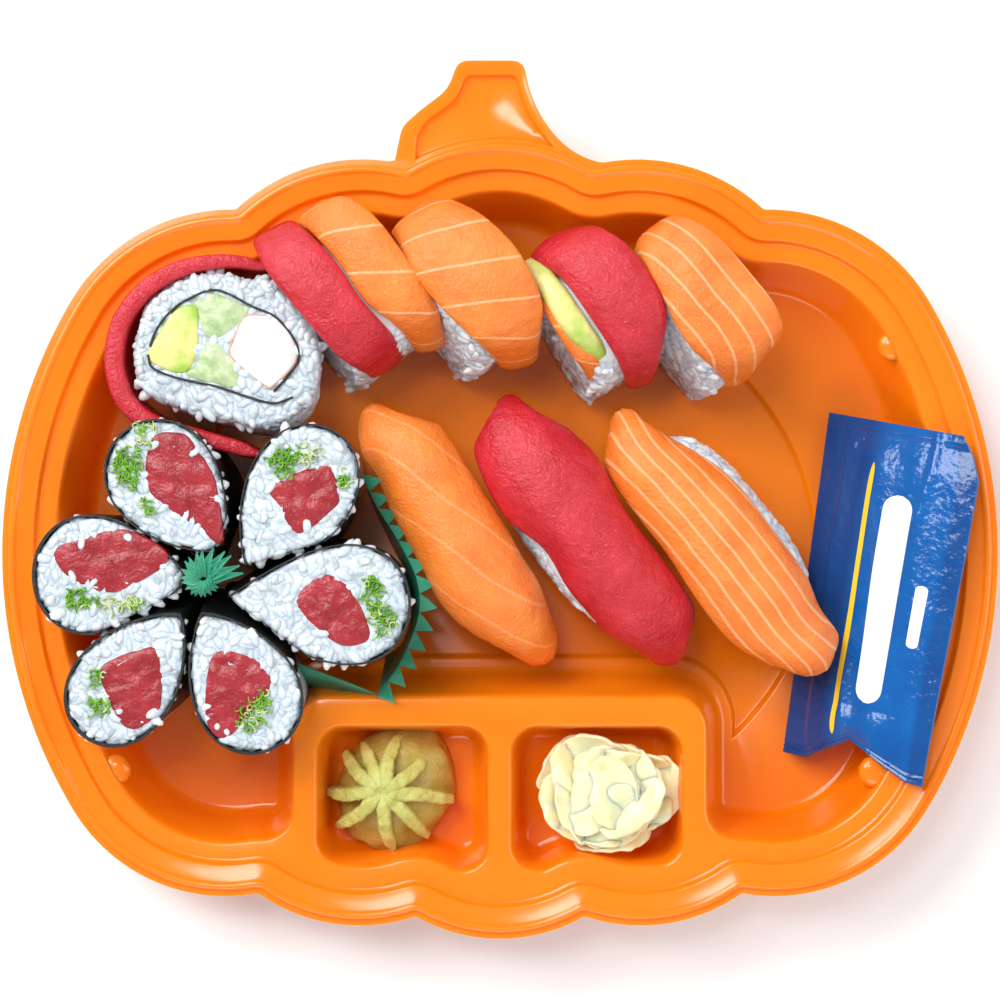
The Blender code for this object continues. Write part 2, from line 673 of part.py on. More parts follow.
def build_grass_sheet():
    """The thin green divider, which leans out round the rolls and folds back under them as a plain band."""
    foot = FLOOR_Z + GAP
    top = GRASS_HEIGHT
    lines = [((x, y, foot), (u, v, top)) for (x, y), (u, v) in zip(GRASS_FOOT, GRASS_TOP)]
    mesh_data = bmesh.new()
    rings = []
    for i, (low, high) in enumerate(lines):
        ahead = np.array(lines[min(i + 1, len(lines) - 1)][1]) - np.array(lines[max(i - 1, 0)][1])
        side = np.array((-ahead[1], ahead[0], 0.0))
        side *= GRASS_THICKNESS / 2 / np.linalg.norm(side)
        low, high = np.array(low), np.array(high)
        rings.append(add_ring(mesh_data, [low - side, low + side, high + side, high - side]))
    for first, following in zip(rings, rings[1:]):
        bridge(mesh_data, first, following)
    mesh_data.faces.new(rings[0][::-1])
    mesh_data.faces.new(rings[-1])
    bmesh.ops.recalc_face_normals(mesh_data, faces=mesh_data.faces)
    return add_object("grass_fence", mesh_data, "grass_plastic")


def build_rosette():
    count = 10
    foot = FLOOR_Z + GAP
    rings = []
    over = DROP_ROLL_TOP + GAP
    spread = [
        (foot, ROSETTE_STEM), (over, ROSETTE_STEM),
        (over + 0.8, ROSETTE_RADIUS), (ROSETTE_TOP, 0.7 * ROSETTE_RADIUS),
    ]
    for z, radius in spread:
        ring = []
        for i in range(count):
            t = 2 * math.pi * i / count
            r = radius * (1.0 + 0.15 * math.cos(5 * t))
            ring.append((FLOWER_CENTRE[0] + r * math.cos(t), FLOWER_CENTRE[1] + r * math.sin(t), z))
        rings.append(ring)
    return stacked_solid("grass_rosette", rings, "grass_plastic")


def main():
    clear_scene()
    build_tray()
    build_flat_roll()
    for number, sizes in enumerate(EDGE_ROLLS, 1):
        build_edge_roll(number, *sizes)
    for number, sizes in enumerate(DROP_ROLLS, 1):
        build_drop_roll(number, *sizes)
    for name, sizes in NIGIRI.items():
        build_nigiri(name, *sizes)
    well_floor = WELL_Z + GAP
    build_heap("wasabi", WASABI_CENTRE, WASABI_RADIUS, WASABI_HEIGHT, well_floor, WASABI_PROFILE, wasabi_swell)
    build_heap("ginger", GINGER_CENTRE, GINGER_RADIUS, GINGER_HEIGHT, well_floor, GINGER_PROFILE, ginger_swell)
    build_packet()
    build_grass_sheet()
    build_rosette()


main()
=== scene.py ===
"""The looks of the takeaway sushi tray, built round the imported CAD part.

Lengths are in millimetres and angles in degrees, in the part's own frame: +X is the tray's long side, +Y points
to the pumpkin's stem, +Z is up. Every piece takes the place of its CAD node and rides on the one body."""

import math

import bmesh
import bpy
import numpy as np
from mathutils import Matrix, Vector, noise

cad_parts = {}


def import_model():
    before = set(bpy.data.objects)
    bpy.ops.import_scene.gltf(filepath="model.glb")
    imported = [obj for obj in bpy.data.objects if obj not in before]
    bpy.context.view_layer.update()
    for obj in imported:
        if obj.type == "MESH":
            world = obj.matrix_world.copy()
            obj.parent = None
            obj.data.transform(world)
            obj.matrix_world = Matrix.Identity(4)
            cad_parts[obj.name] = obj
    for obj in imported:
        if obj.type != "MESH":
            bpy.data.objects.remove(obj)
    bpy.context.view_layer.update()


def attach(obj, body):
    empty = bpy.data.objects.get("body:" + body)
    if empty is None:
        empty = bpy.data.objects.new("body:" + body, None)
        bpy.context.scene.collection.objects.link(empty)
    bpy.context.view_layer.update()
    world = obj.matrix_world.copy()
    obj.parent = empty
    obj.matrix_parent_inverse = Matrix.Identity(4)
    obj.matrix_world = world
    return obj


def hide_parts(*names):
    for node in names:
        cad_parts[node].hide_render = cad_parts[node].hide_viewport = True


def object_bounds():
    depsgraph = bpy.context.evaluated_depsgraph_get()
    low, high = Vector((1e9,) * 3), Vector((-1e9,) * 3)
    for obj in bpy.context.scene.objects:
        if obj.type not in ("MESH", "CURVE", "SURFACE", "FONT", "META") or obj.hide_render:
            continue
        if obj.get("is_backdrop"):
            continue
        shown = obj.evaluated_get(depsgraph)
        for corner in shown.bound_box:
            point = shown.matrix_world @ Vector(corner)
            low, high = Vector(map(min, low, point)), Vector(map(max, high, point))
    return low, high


MM = 0.001
BODY = "root"
RANDOM = np.random.default_rng(11)

# ---- the tray's sizes, as in the CAD part ------------------------------------------------------------------

WALL = 0.7
PANEL_Z, FLOOR_Z, LIP_Z = 0.7, 2.2, 24.9
SIDE_CENTRE = (0.0, -13.0)
SIDE_RADIUS = 119.7
BOTTOM_LOBES = [((0.0, -65.1), 40.5), ((33.8, -60.4), 42.0)]
LOWER_SIDE_LOBE = (66.0, -52.6)
UPPER_SIDE_LOBE = (64.6, 25.0)
TOP_LOBES = [((33.1, 37.6), 44.2), ((0.0, 43.0), 44.0)]
NOTCH_RADIUS = 1.5
ARC_STEP = 1.7
SHORT_ARC_STEP = 0.9
BEAD_START = 1.3
POCKET_EDGE = 12.0
BLOCK_HALF_WIDTH, BLOCK_TOP, BLOCK_CORNER, POCKET_CORNER = 49.2, -48.3, 7.5, 8.0
WELL_X, WELL_TOP, WELL_CORNER, WELL_EDGE = (2.1, 44.9), -54.0, 7.0, 13.2
PANEL_HALF_SIZES = (79.5, 69.0)
PANEL_BLOCK_GAP = 8.4
# Profiles, as (how far in from the edge, height).
RIM_PROFILE = [
    (1.3, 24.9), (1.4, 25.3), (1.65, 25.65), (2.05, 25.87), (2.5, 25.9), (2.95, 25.75), (3.3, 25.4),
    (3.6, 25.2),
    (7.1, 25.2), (7.4, 25.08), (7.6, 24.8), (7.8, 24.3), (8.0, 23.85), (8.3, 23.6), (8.8, 23.5),
]
POCKET_PROFILE = [
    (0.0, 23.5), (0.3, 23.4), (0.7, 23.0), (1.05, 22.2), (1.7, 18.8), (3.2, 11.3), (4.5, 5.2),
    (4.9, 3.9), (5.5, 2.9), (6.2, 2.4), (7.0, 2.2),
]
WELL_PROFILE = [
    (0.0, 23.5), (0.3, 23.4), (0.7, 23.0), (1.0, 22.2), (2.0, 16.0), (3.0, 10.3), (3.4, 8.9),
    (4.1, 7.9), (5.2, 7.5),
]
PANEL_PROFILE = [(0.0, 2.2), (0.25, 2.1), (0.5, 1.8), (1.1, 1.1), (1.35, 0.8), (1.6, 0.7)]
STEM_PROFILE = [(0.0, 24.9), (0.15, 24.8), (0.35, 24.5), (0.6, 23.7), (0.75, 23.4), (0.95, 23.3)]
STEM_CORNERS = [
    ((-25.3, 81.6), 1.5), ((-23.6, 89.6), 6.0), ((-19.2, 93.6), 6.0), ((-12.6, 98.6), 9.0),
    ((-10.0, 105.6), 3.6), ((5.6, 105.6), 3.6), ((8.2, 93.0), 30.0), ((17.5, 83.0), 20.0),
    ((23.6, 81.2), 8.0),
]
STEM_FIELD_CORNERS = [
    ((-20.6, 81.3), 0.0), ((-20.4, 87.5), 5.0), ((-17.6, 91.6), 5.0), ((-10.8, 96.4), 8.0),
    ((-8.2, 102.4), 2.4), ((4.4, 102.4), 2.4), ((6.2, 94.0), 25.0), ((13.4, 84.4), 0.0),
]
STEM_FIELD_GAP = 0.8
LOCK_BUMPS = [(-96.6, 37.3), (95.0, 37.3), (-93.0, -65.4), (90.5, -65.8)]

# ---- the food's sizes --------------------------------------------------------------------------------------

# Standing rolls: tip and back of the drop-shaped end, width, how sharply it narrows, how far in its foot is.
DROP_ROLLS = [
    ((-65.6, -12.2), (-88.7, 16.3), 26.0, 0.62, (2.0, -2.5)),
    ((-59.0, -18.2), (-38.9, 16.5), 26.0, 0.62, (-2.5, -3.5)),
    ((-66.5, -24.2), (-20.8, -25.0), 28.8, 1.15, (-4.0, 0.5)),
    ((-70.2, -26.6), (-52.7, -58.5), 25.4, 0.62, (-5.0, 8.0)),
    ((-75.4, -27.0), (-98.2, -55.7), 24.4, 0.62, (6.0, 7.0)),
    ((-73.8, -18.4), (-110.1, -17.3), 28.2, 0.70, (9.5, 0.0)),
]
DROP_ROLL_TOP = 38.0
FLOWER_CENTRE = (-69.6, -18.6)
FLOWER_HEART = 3.1
FLOWER_BOUNDARIES = [145.0, 69.8, 16.7, -37.5, -101.6, -152.4, -215.0]
TUNA_CORES = [
    [(-81.5, 15), (-74.5, 15.5), (-71.5, 12), (-67, 4.5), (-65.5, -10), (-71.5, -6.5), (-81.5, 0.5),
     (-83.5, 7)],
    [(-54, 3.5), (-41, 8), (-38, 2), (-39, -2), (-47.5, -8), (-52.5, -1)],
    [(-43.5, -18.5), (-39.5, -18), (-34.5, -22), (-30.5, -31.5), (-34.5, -34.5), (-40, -33), (-48, -24.5)],
    [(-67.5, -36.5), (-60, -36.5), (-54, -41.5), (-55.5, -46.5), (-64, -56), (-68.5, -54), (-69.5, -47)],
    [(-94, -39.5), (-85.5, -35.5), (-80.5, -36), (-80, -49), (-85.5, -54), (-89.5, -52.5), (-92.5, -46.5)],
    [(-105, -12), (-98, -9), (-89, -7), (-81.5, -10), (-78, -13.5), (-81.5, -17.5), (-92, -22), (-102, -18)],
]
# Onion in each roll: middle, half sizes, how green it is, how many bits.
ONION = [
    [((-87.3, 7.5), (3.4, 5.4), 1.0, 46), ((-83, 15), (3.0, 2.6), 0.3, 16), ((-83, -1.5),
     (1.7, 2.2), 0.9, 10)],
    [((-51, 8.3), (3.4, 3.8), 1.0, 34), ((-44.8, 10.4), (3.2, 2.0), 0.25, 16), ((-36.6, 4.8),
     (1.2, 3.0), 0.7, 8)],
    [((-30.2, -21.5), (2.2, 3.8), 0.9, 20), ((-27.6, -28), (3.0, 4.4), 0.7, 34)],
    [((-58.8, -51.2), (3.2, 4.0), 0.6, 28), ((-55.5, -48), (1.6, 3.0), 0.9, 12)],
    [((-94, -48.5), (2.1, 2.2), 0.9, 14), ((-95, -42), (1.1, 2.4), 0.8, 10)],
    [((-99.8, -23.6), (2.4, 2.6), 1.0, 18), ((-91, -24.4), (7.6, 1.5), 0.3, 26)],
]

# The roll that lies with its cut face up, and what shows in it.
FLAT_ROLL_TOP = 30.0
FAT_LINE_WIDTH = 0.9
FLAT_RICE = [
    (-75.5, 52.5), (-67, 54), (-60.5, 52.5), (-56, 53), (-51, 48.5), (-45.5, 41.5), (-43.5, 36), (-44, 28.5),
    (-46.5, 22.5), (-52, 18.5), (-58, 17.5), (-67, 19.5), (-78, 22.5), (-84.5, 25.5), (-87, 30.5),
    (-87, 37.5),
    (-84, 46),
]
FLAT_DRAPE = [
    (-55.5, 55.5), (-61.5, 56.8), (-68, 57), (-76.5, 55.2), (-84.5, 50.6), (-90.2, 43.5), (-92.2, 36),
    (-91.6, 28.5),
    (-88.6, 22.2), (-82, 17.6), (-74, 15.4), (-65, 13), (-57, 10.5),
]
FLAT_NORI = [
    [(-83.5, 36.5), (-82, 40.5), (-78.5, 45), (-74, 48), (-67.5, 50), (-59, 46), (-53.5, 43.5),
     (-49, 38), (-48, 33.5),
     (-51, 29), (-54, 25.8)],
    [(-84, 34.6), (-83, 31.5), (-78, 29.3), (-72.5, 28), (-67, 26.8), (-60.5, 24.6), (-54, 23),
     (-49.5, 24.4)],
]
AVOCADO_WEDGE = [(-78, 45), (-73.2, 46.6), (-72, 44), (-72, 38), (-73, 33), (-76, 30), (-83, 32.5),
    (-84, 35.5)]
CUCUMBERS = [
    [(-72.8, 47.5), (-68.5, 49.5), (-59.5, 45.6), (-61, 43), (-66, 39), (-70, 38.6), (-71.6, 42)],
    [(-71.4, 37.6), (-66.5, 37.5), (-64.5, 34), (-62.5, 31.5), (-62.5, 26.4), (-75, 29.4), (-72.4, 32.5)],
]
CRAB_STICK = [(-61.5, 42.8), (-59, 44), (-52, 42.5), (-48.5, 34), (-54, 27.2), (-56.5, 27.5),
    (-64, 34), (-63.5, 38)]

# Rolls on edge: middle, direction, length, thickness, height, as in the CAD part.
EDGE_ROLLS = [
    ((-34.4, 50.1), -51.5, 46.0, 21.4, 38.0),
    ((-7.2, 52.4), -52.0, 46.5, 20.8, 39.0),
    ((23.6, 46.8), -57.5, 45.0, 19.0, 36.0),
    ((50.0, 47.2), -51.5, 44.0, 21.2, 37.0),
]
EDGE_ROLL_LEAN = (-0.8, -9.0)
EDGE_ROLL_FOOT = 0.70


# Fish slices: the CAD node each lies on, its look, its two long edges seen from above, the heights of its far
# end, its back and its near end, how thick it is, how far its sides hang down, and how its fat lines run.
FISH = {
    "roll_1_salmon": ("rainbow_roll_1", "salmon",
        [(-49.5, 68), (-46, 65), (-38.5, 56.5), (-32, 47), (-25, 40.5), (-20.5, 35)],
        [(-40.5, 73.5), (-36, 72.5), (-29, 66.5), (-20, 54), (-14.8, 45.5), (-12.5, 37)],
        (24.0, 37.6, 15.0), 2.6, 1.4, (62.0, 11.0)),
    "roll_1_tuna": ("rainbow_roll_1", "tuna",
        [(-60, 62.5), (-54.5, 53), (-42.5, 38.5), (-37, 32.5), (-30.5, 28.5)],
        [(-50, 68.2), (-46.6, 65), (-38.6, 56), (-32.5, 47), (-22, 35.5)],
        (24.0, 38.2, 17.0), 3.4, 1.0, None),
    "roll_2_salmon": ("rainbow_roll_2", "salmon",
        [(-27, 65.5), (-20, 53), (-14, 45.5), (-5.5, 36.5), (0.5, 30.5)],
        [(-13.5, 74), (-4.5, 68), (4.5, 58.5), (10.5, 45.5), (10, 33.5)],
        (24.0, 38.6, 15.0), 3.2, 1.6, (70.0, 10.0)),
    "roll_3_avocado": ("rainbow_roll_3", "avocado",
        [(5.4, 57.5), (8.6, 51), (13, 43), (17.4, 36), (20.5, 31.5)],
        [(9.4, 59), (15, 51.5), (20.5, 43), (25, 35.5), (27, 31)],
        (22.0, 34.2, 20.0), 3.0, 0.8, None),
    "roll_3_salmon": ("rainbow_roll_3", "salmon",
        [(5.0, 55.0), (8.2, 48.4), (12.4, 41.5), (17.0, 34.0), (22, 27.0)],
        [(8.0, 57.5), (13.0, 49.5), (18.0, 41.5), (22.5, 34.5), (28.5, 28.0)],
        (18.0, 32.4, 12.0), 3.0, 0.8, (60.0, 9.0)),
    "roll_3_tuna": ("rainbow_roll_3", "tuna",
        [(6.5, 60.5), (14.5, 53), (23.5, 39.8), (28, 32.2), (31.5, 26.0)],
        [(22, 68), (30, 61), (37, 51), (40, 41.5), (38.6, 29.0)],
        (23.0, 37.0, 14.0), 3.4, 1.6, None),
    "roll_4_salmon": ("rainbow_roll_4", "salmon",
        [(31, 61), (34, 56), (38, 49), (41.5, 41.5), (47, 33.5), (54.5, 26.5)],
        [(41.5, 70), (49.5, 64.5), (58.5, 54.5), (65.3, 45.5), (67.5, 38), (62, 29.5)],
        (24.0, 37.8, 15.0), 3.2, 1.6, (6.0, 5.0)),
    "nigiri_salmon_1_fish": ("nigiri_salmon_1", "salmon",
        [(-36.2, 22.5), (-35.2, 15.0), (-30.5, 6.5), (-26.5, -2.5), (-19, -16), (-13.8, -26),
         (-6, -34.5), (5.5, -43.2)],
        [(-26, 24.6), (-17, 21.5), (-12.5, 16), (-7.6, 7.5), (0, -4), (5.8, -14.5), (11.0, -23), (16.8, -38)],
        (17.0, 33.4, 11.0), 5.0, 6.4, (24.0, 9.0, 0.3)),
    "nigiri_tuna_fish": ("nigiri_tuna", "tuna",
        [(-3.5, 24.0), (-7.5, 15.5), (0, -2.5), (10.5, -12), (16.5, -22), (23.5, -31), (28, -36.5),
         (37.2, -43.4)],
        [(6, 27), (14, 21.5), (23.5, 10.5), (29.5, -1.5), (36, -10.5), (43.5, -21), (49.4, -31),
         (48.6, -37.5)],
        (17.0, 34.4, 12.0), 5.4, 6.4, None),
    "nigiri_salmon_2_fish": ("nigiri_salmon_2", "salmon",
        [(25.0, 21.5), (24.6, 10), (32.5, -3), (40, -13), (45.5, -21.5), (51.5, -30), (58, -37), (70, -45)],
        [(34.5, 23), (48, 12.5), (57, 4), (65.5, -7), (73.5, -18), (77.5, -27), (83, -35.5), (83, -40)],
        (17.0, 33.4, 24.0), 5.0, 6.0, (3.0, 3.8)),
}
NIGIRI_RICE = {
    "nigiri_salmon_1": ((-10.2, -9.4), -54.7, 27.0, 9.6),
    "nigiri_tuna": ((18.6, -7.6), -53.5, 28.0, 11.6),
    "nigiri_salmon_2": ((54.6, -8.4), -51.5, 28.0, 11.8),
}
NIGIRI_RICE_TOP = 27.5

WASABI_CENTRE, WASABI_RADIUS = (-27.4, -70.9), 14.6
WASABI_FINS = [  # the direction and the length of each
    (137, 13.2), (110, 12.4), (74, 14.2), (34, 14.4), (-7, 17.8), (-44, 16.2), (-80, 15.6),
    (-139, 14.6), (-178, 13.6),
]
WASABI_HEIGHT, HEAP_FOOT = 16.4, 7.8
GINGER_CENTRE, GINGER_RADIUS, GINGER_HEIGHT = (25.4, -71.6), 17.0, 21.0
GINGER_SLICES = 17

PACKET_CORNERS = [(81.8, 21.6, 6.2), (113.4, 14.5, 32.8), (100.4, -68.4, 31.0), (70.4, -62.6, 5.8)]
PACKET_THICKNESS, PACKET_SEAM = 7.6, 0.7
# Plain fields of colour in place of its print: left, right, start and end, as shares of its width and length.
PACKET_FIELDS = {
    "print_white": [(0.50, 0.68, 0.20, 0.80), (0.78, 0.85, 0.44, 0.62)],
    "print_yellow": [(0.37, 0.405, 0.12, 0.95)],
}

GRASS_FOOT = [(-31.6, -2.0), (-27.0, -11.5), (-23.0, -19.5), (-22.0, -27.0), (-24.0, -35.0), (-28.5, -39.2)]
GRASS_TOP = [(-33.5, 6.0), (-29.5, -2.0), (-24.2, -10.5), (-20.0, -19.5), (-19.6, -28.0),
    (-23.4, -38.0), (-29.5, -47.5)]
GRASS_BAND = [(-29.5, -47.5), (-36.0, -44.8), (-46.0, -41.0), (-57.0, -36.5)]
TOOTH = (4.3, 4.2)
ROSETTE_LEAVES = 22


# ---- looks -------------------------------------------------------------------------------------------------

def noise_at(tree, coordinates, size, detail=3.0, roughness=0.55):
    """A noise whose blobs are this many millimetres across."""
    node = tree.nodes.new("ShaderNodeTexNoise")
    node.inputs["Scale"].default_value = 1 / (size * MM)
    node.inputs["Detail"].default_value = detail
    node.inputs["Roughness"].default_value = roughness
    tree.links.new(coordinates, node.inputs["Vector"])
    return node.outputs["Fac"]


def ramp(tree, value, stops):
    """A colour ramp; stops are (position, linear colour)."""
    node = tree.nodes.new("ShaderNodeValToRGB")
    elements = node.color_ramp.elements
    while len(elements) < len(stops):
        elements.new(0.5)
    for element, (position, colour) in zip(elements, stops):
        element.position = position
        element.color = (*colour, 1.0)
    tree.links.new(value, node.inputs["Fac"])
    return node.outputs["Color"]


def mix(tree, share, first, second):
    node = tree.nodes.new("ShaderNodeMix")
    node.data_type = "RGBA"
    tree.links.new(share, node.inputs["Factor"])
    colours = [s for s in node.inputs if s.type == "RGBA"]
    for value, socket in ((first, colours[0]), (second, colours[1])):
        if isinstance(value, tuple):
            socket.default_value = (*value, 1.0)
        else:
            tree.links.new(value, socket)
    return [s for s in node.outputs if s.type == "RGBA"][0]


def bump(tree, height, depth, below=None):
    """Relief that is this many millimetres deep."""
    node = tree.nodes.new("ShaderNodeBump")
    node.inputs["Strength"].default_value = 1.0
    node.inputs["Distance"].default_value = depth * MM
    tree.links.new(height, node.inputs["Height"])
    if below is not None:
        tree.links.new(below, node.inputs["Normal"])
    return node.outputs["Normal"]


def look(name, stops, blob, relief, roughness):
    """A material: a colour ramp over a noise of this blob size, and reliefs of (size, depth)."""
    made = bpy.data.materials.new(name)
    made.use_nodes = True
    tree = made.node_tree
    shader = tree.nodes["Principled BSDF"]
    coordinates = tree.nodes.new("ShaderNodeTexCoord").outputs["Object"]
    colour = ramp(tree, noise_at(tree, coordinates, blob), stops)
    tree.links.new(colour, shader.inputs["Base Color"])
    normal = None
    for size, depth in relief:
        normal = bump(tree, noise_at(tree, coordinates, size), depth, normal)
    if normal is not None:
        tree.links.new(normal, shader.inputs["Normal"])
    shader.inputs["Roughness"].default_value = roughness
    return made, tree, shader, colour, normal


def subsurface(shader, weight, radius):
    shader.inputs["Subsurface Weight"].default_value = weight
    shader.inputs["Subsurface Radius"].default_value = (1.0, 0.45, 0.25)
    shader.inputs["Subsurface Scale"].default_value = radius * MM


def salmon_look(name, turn, spacing, strength=0.75):
    """Orange flesh with pale fat lines, this far apart and turned by this angle across the slice."""
    edge = 0.5 + 0.5 * math.cos(math.pi * FAT_LINE_WIDTH / spacing)
    made, tree, shader, colour, normal = look(
        name, [(0.3, (0.84, 0.185, 0.018)), (0.7, (0.94, 0.275, 0.045))], 9.0, [(0.7, 0.4), (2.2, 0.4)], 0.24)
    uv = tree.nodes.new("ShaderNodeUVMap")
    uv.uv_map = "sheet"
    place = tree.nodes.new("ShaderNodeMapping")
    place.inputs["Rotation"].default_value = (0.0, 0.0, math.radians(turn))
    tree.links.new(uv.outputs["UV"], place.inputs["Vector"])
    wave = tree.nodes.new("ShaderNodeTexWave")
    wave.bands_direction = "X"
    wave.inputs["Scale"].default_value = 0.314 * 10 / spacing
    wave.inputs["Distortion"].default_value = 2.2
    wave.inputs["Detail"].default_value = 2.0
    wave.inputs["Detail Scale"].default_value = 0.5
    tree.links.new(place.outputs["Vector"], wave.inputs["Vector"])
    lines = ramp(tree, wave.outputs["Fac"], [(edge, (0.0,) * 3), (edge + 0.75 * (1 - edge), (strength,) * 3)])
    striped = mix(tree, lines, colour, (1.0, 0.50, 0.24))
    tree.links.new(striped, shader.inputs["Base Color"])
    tree.links.new(bump(tree, lines, 0.12, normal), shader.inputs["Normal"])
    subsurface(shader, 0.3, 3.0)
    return made


# The look's name, its slot, its colours, the size of its blobs, its reliefs as (size, depth), its roughness, and
# how much light goes into it and how far.
PLAIN_LOOKS = [
    ("tray", "tray_plastic", [(0.3, (1.0, 0.205, 0.003)), (0.7, (1.0, 0.225, 0.004))],
     40.0, [(60.0, 0.4)], 0.16, (0.35, 4.0)),
    ("rice", "rice", [(0.3, (0.66, 0.69, 0.73)), (0.7, (0.79, 0.80, 0.82))],
     7.0, [(0.8, 0.1), (2.4, 0.25)], 0.32, (0.45, 2.0)),
    ("nori", "seaweed", [(0.3, (0.004, 0.005, 0.006)), (0.7, (0.012, 0.015, 0.014))],
     3.0, [(0.7, 0.25), (4.0, 0.3)], 0.45, None),
    ("tuna", "tuna", [(0.3, (0.50, 0.008, 0.018)), (0.7, (0.64, 0.026, 0.046))],
     8.0, [(0.7, 0.4), (2.5, 0.6)], 0.24, (0.3, 2.5)),
    ("tuna_core", "tuna", [(0.3, (0.27, 0.010, 0.016)), (0.7, (0.42, 0.030, 0.042))],
     5.0, [(0.8, 0.2), (2.0, 0.3)], 0.26, (0.3, 2.0)),
    ("avocado", "avocado", [(0.35, (0.36, 0.58, 0.07)), (0.58, (0.80, 0.74, 0.28))],
     10.0, [(1.5, 0.15)], 0.35, (0.2, 2.0)),
    ("cucumber", "vegetable", [(0.35, (0.38, 0.52, 0.24)), (0.65, (0.58, 0.68, 0.42))],
     4.0, [(1.0, 0.25)], 0.2, (0.4, 3.0)),
    ("onion_green", "vegetable", [(0.3, (0.09, 0.34, 0.015)), (0.7, (0.30, 0.58, 0.06))],
     1.5, [(0.5, 0.1)], 0.25, (0.2, 1.0)),
    ("onion_pale", "vegetable", [(0.3, (0.48, 0.62, 0.22)), (0.7, (0.74, 0.78, 0.50))],
     1.5, [(0.5, 0.1)], 0.25, (0.2, 1.0)),
    ("crab", "crab_stick", [(0.3, (0.70, 0.68, 0.68)), (0.7, (0.78, 0.77, 0.76))],
     4.0, [(0.8, 0.1)], 0.4, (0.3, 2.0)),
    ("crab_skin", "crab_stick", [(0.3, (0.85, 0.22, 0.06)), (0.7, (0.90, 0.36, 0.16))],
     2.0, [(0.5, 0.1)], 0.4, None),
    ("wasabi", "wasabi", [(0.3, (0.46, 0.45, 0.10)), (0.7, (0.62, 0.62, 0.19))],
     3.0, [(0.7, 0.35), (2.0, 0.4)], 0.5, (0.2, 1.5)),
    # The lump under the fins: the same paste, painted darker and browner as painted shade between the fins.
    ("wasabi_lump", "wasabi", [(0.3, (0.34, 0.26, 0.040)), (0.7, (0.52, 0.42, 0.10))],
     6.0, [(0.9, 0.2), (3.0, 0.4)], 0.4, (0.2, 1.5)),
    ("ginger", "ginger", [(0.3, (0.94, 0.78, 0.40)), (0.7, (0.98, 0.90, 0.62))],
     6.0, [(0.6, 0.12)], 0.25, (0.6, 3.0)),
    ("grass", "grass_plastic", [(0.3, (0.04, 0.42, 0.25)), (0.7, (0.12, 0.58, 0.38))],
     8.0, [(3.0, 0.1)], 0.25, None),
    ("print_white", "packet_film", [(0.3, (0.85, 0.86, 0.88)), (0.7, (0.85, 0.86, 0.88))],
     10.0, [(6.0, 0.2)], 0.18, None),
    ("print_yellow", "packet_film", [(0.3, (0.90, 0.58, 0.03)), (0.7, (0.90, 0.58, 0.03))],
     10.0, [(6.0, 0.2)], 0.18, None),
]
GRASS_LETS_THROUGH = 0.35
LOOKS = {}


def make_looks():
    for name, slot, stops, blob, relief, roughness, soft in PLAIN_LOOKS:
        made, _, shader, *_ = look(name, stops, blob, relief, roughness)
        if soft:
            subsurface(shader, *soft)
        if name == "grass":
            shader.inputs["Transmission Weight"].default_value = GRASS_LETS_THROUGH
        LOOKS[name] = (made, slot)
    LOOKS["packet"] = (packet_look(), "packet_film")
    for name, fish in FISH.items():
        if fish[-1]:
            LOOKS[name] = (salmon_look(name, *fish[-1]), "salmon")


def packet_look():
    """Blue film, darker over its low side and in a band by its high edge, paler between, laid out over the
    sheet; the low side's darkness is painted shade where it lies low.
    """
    made, tree, shader, colour, _ = look(
        "packet", [(0.3, (0.001, 0.085, 0.34)), (0.7, (0.002, 0.120, 0.43))],
        14.0, [(2.2, 0.2), (7.0, 0.5)], 0.14)
    uv = tree.nodes.new("ShaderNodeUVMap")
    uv.uv_map = "sheet"
    parts = tree.nodes.new("ShaderNodeSeparateXYZ")
    tree.links.new(uv.outputs["UV"], parts.inputs["Vector"])
    # Painted shade: a high share of dark blue over the low side (up to about 0.44 of the width), where the
    # packet lies low by the floor; a darker band by the high edge.
    fields = ramp(tree, parts.outputs["X"], [
        (0.0, (0.75,) * 3), (0.17, (0.75,) * 3), (0.30, (0.85,) * 3),
        (0.44, (0.1,) * 3), (0.88, (0.0,) * 3), (0.92, (0.5,) * 3)])
    colour = mix(tree, fields, colour, (0.006, 0.035, 0.160))
    tree.links.new(colour, shader.inputs["Base Color"])
    return made


# ---- meshes ------------------------------------------------------------------------------------------------

def add_piece(name, points, faces, kind, *nodes, sheet=None, thickness=0.0, sharp=50.0):
    """A mesh from points in millimetres, in a look, which takes the place of the CAD nodes."""
    mesh = bpy.data.meshes.new(name)
    mesh.from_pydata((np.asarray(points) * MM).tolist(), [], [tuple(face) for face in faces])
    if sheet is not None:
        layer = mesh.uv_layers.new(name="sheet")
        corners = np.empty(len(mesh.loops), np.int32)
        mesh.loops.foreach_get("vertex_index", corners)
        layer.data.foreach_set("uv", np.asarray(sheet, np.float32)[corners].ravel())
    grown = bmesh.new()
    grown.from_mesh(mesh)
    bmesh.ops.recalc_face_normals(grown, faces=grown.faces)
    if thickness:
        bmesh.ops.solidify(grown, geom=list(grown.faces), thickness=thickness * MM)
        bmesh.ops.recalc_face_normals(grown, faces=grown.faces)
    grown.to_mesh(mesh)
    grown.free()
    material, slot = LOOKS[kind]
    mesh.materials.append(material)
    mesh.shade_smooth()
    mesh.set_sharp_from_angle(angle=math.radians(sharp))
    obj = bpy.data.objects.new(name, mesh)
    bpy.context.scene.collection.objects.link(obj)
    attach(obj, BODY)
    if nodes:
        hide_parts(*nodes)
    return obj


def joined(parts):
    """One list of points and one of faces from several (points, faces)."""
    points, faces, start = [], [], 0
    for some_points, some_faces in parts:
        points.append(np.asarray(some_points))
        faces.extend([tuple(i + start for i in face) for face in some_faces])
        start += len(some_points)
    return np.concatenate(points), faces


def grid_faces(rows, columns, wrap=False):
    across = columns if wrap else columns - 1
    return [
        (r * columns + c, r * columns + (c + 1) % columns,
         (r + 1) * columns + (c + 1) % columns, (r + 1) * columns + c)
        for r in range(rows - 1) for c in range(across)
    ]


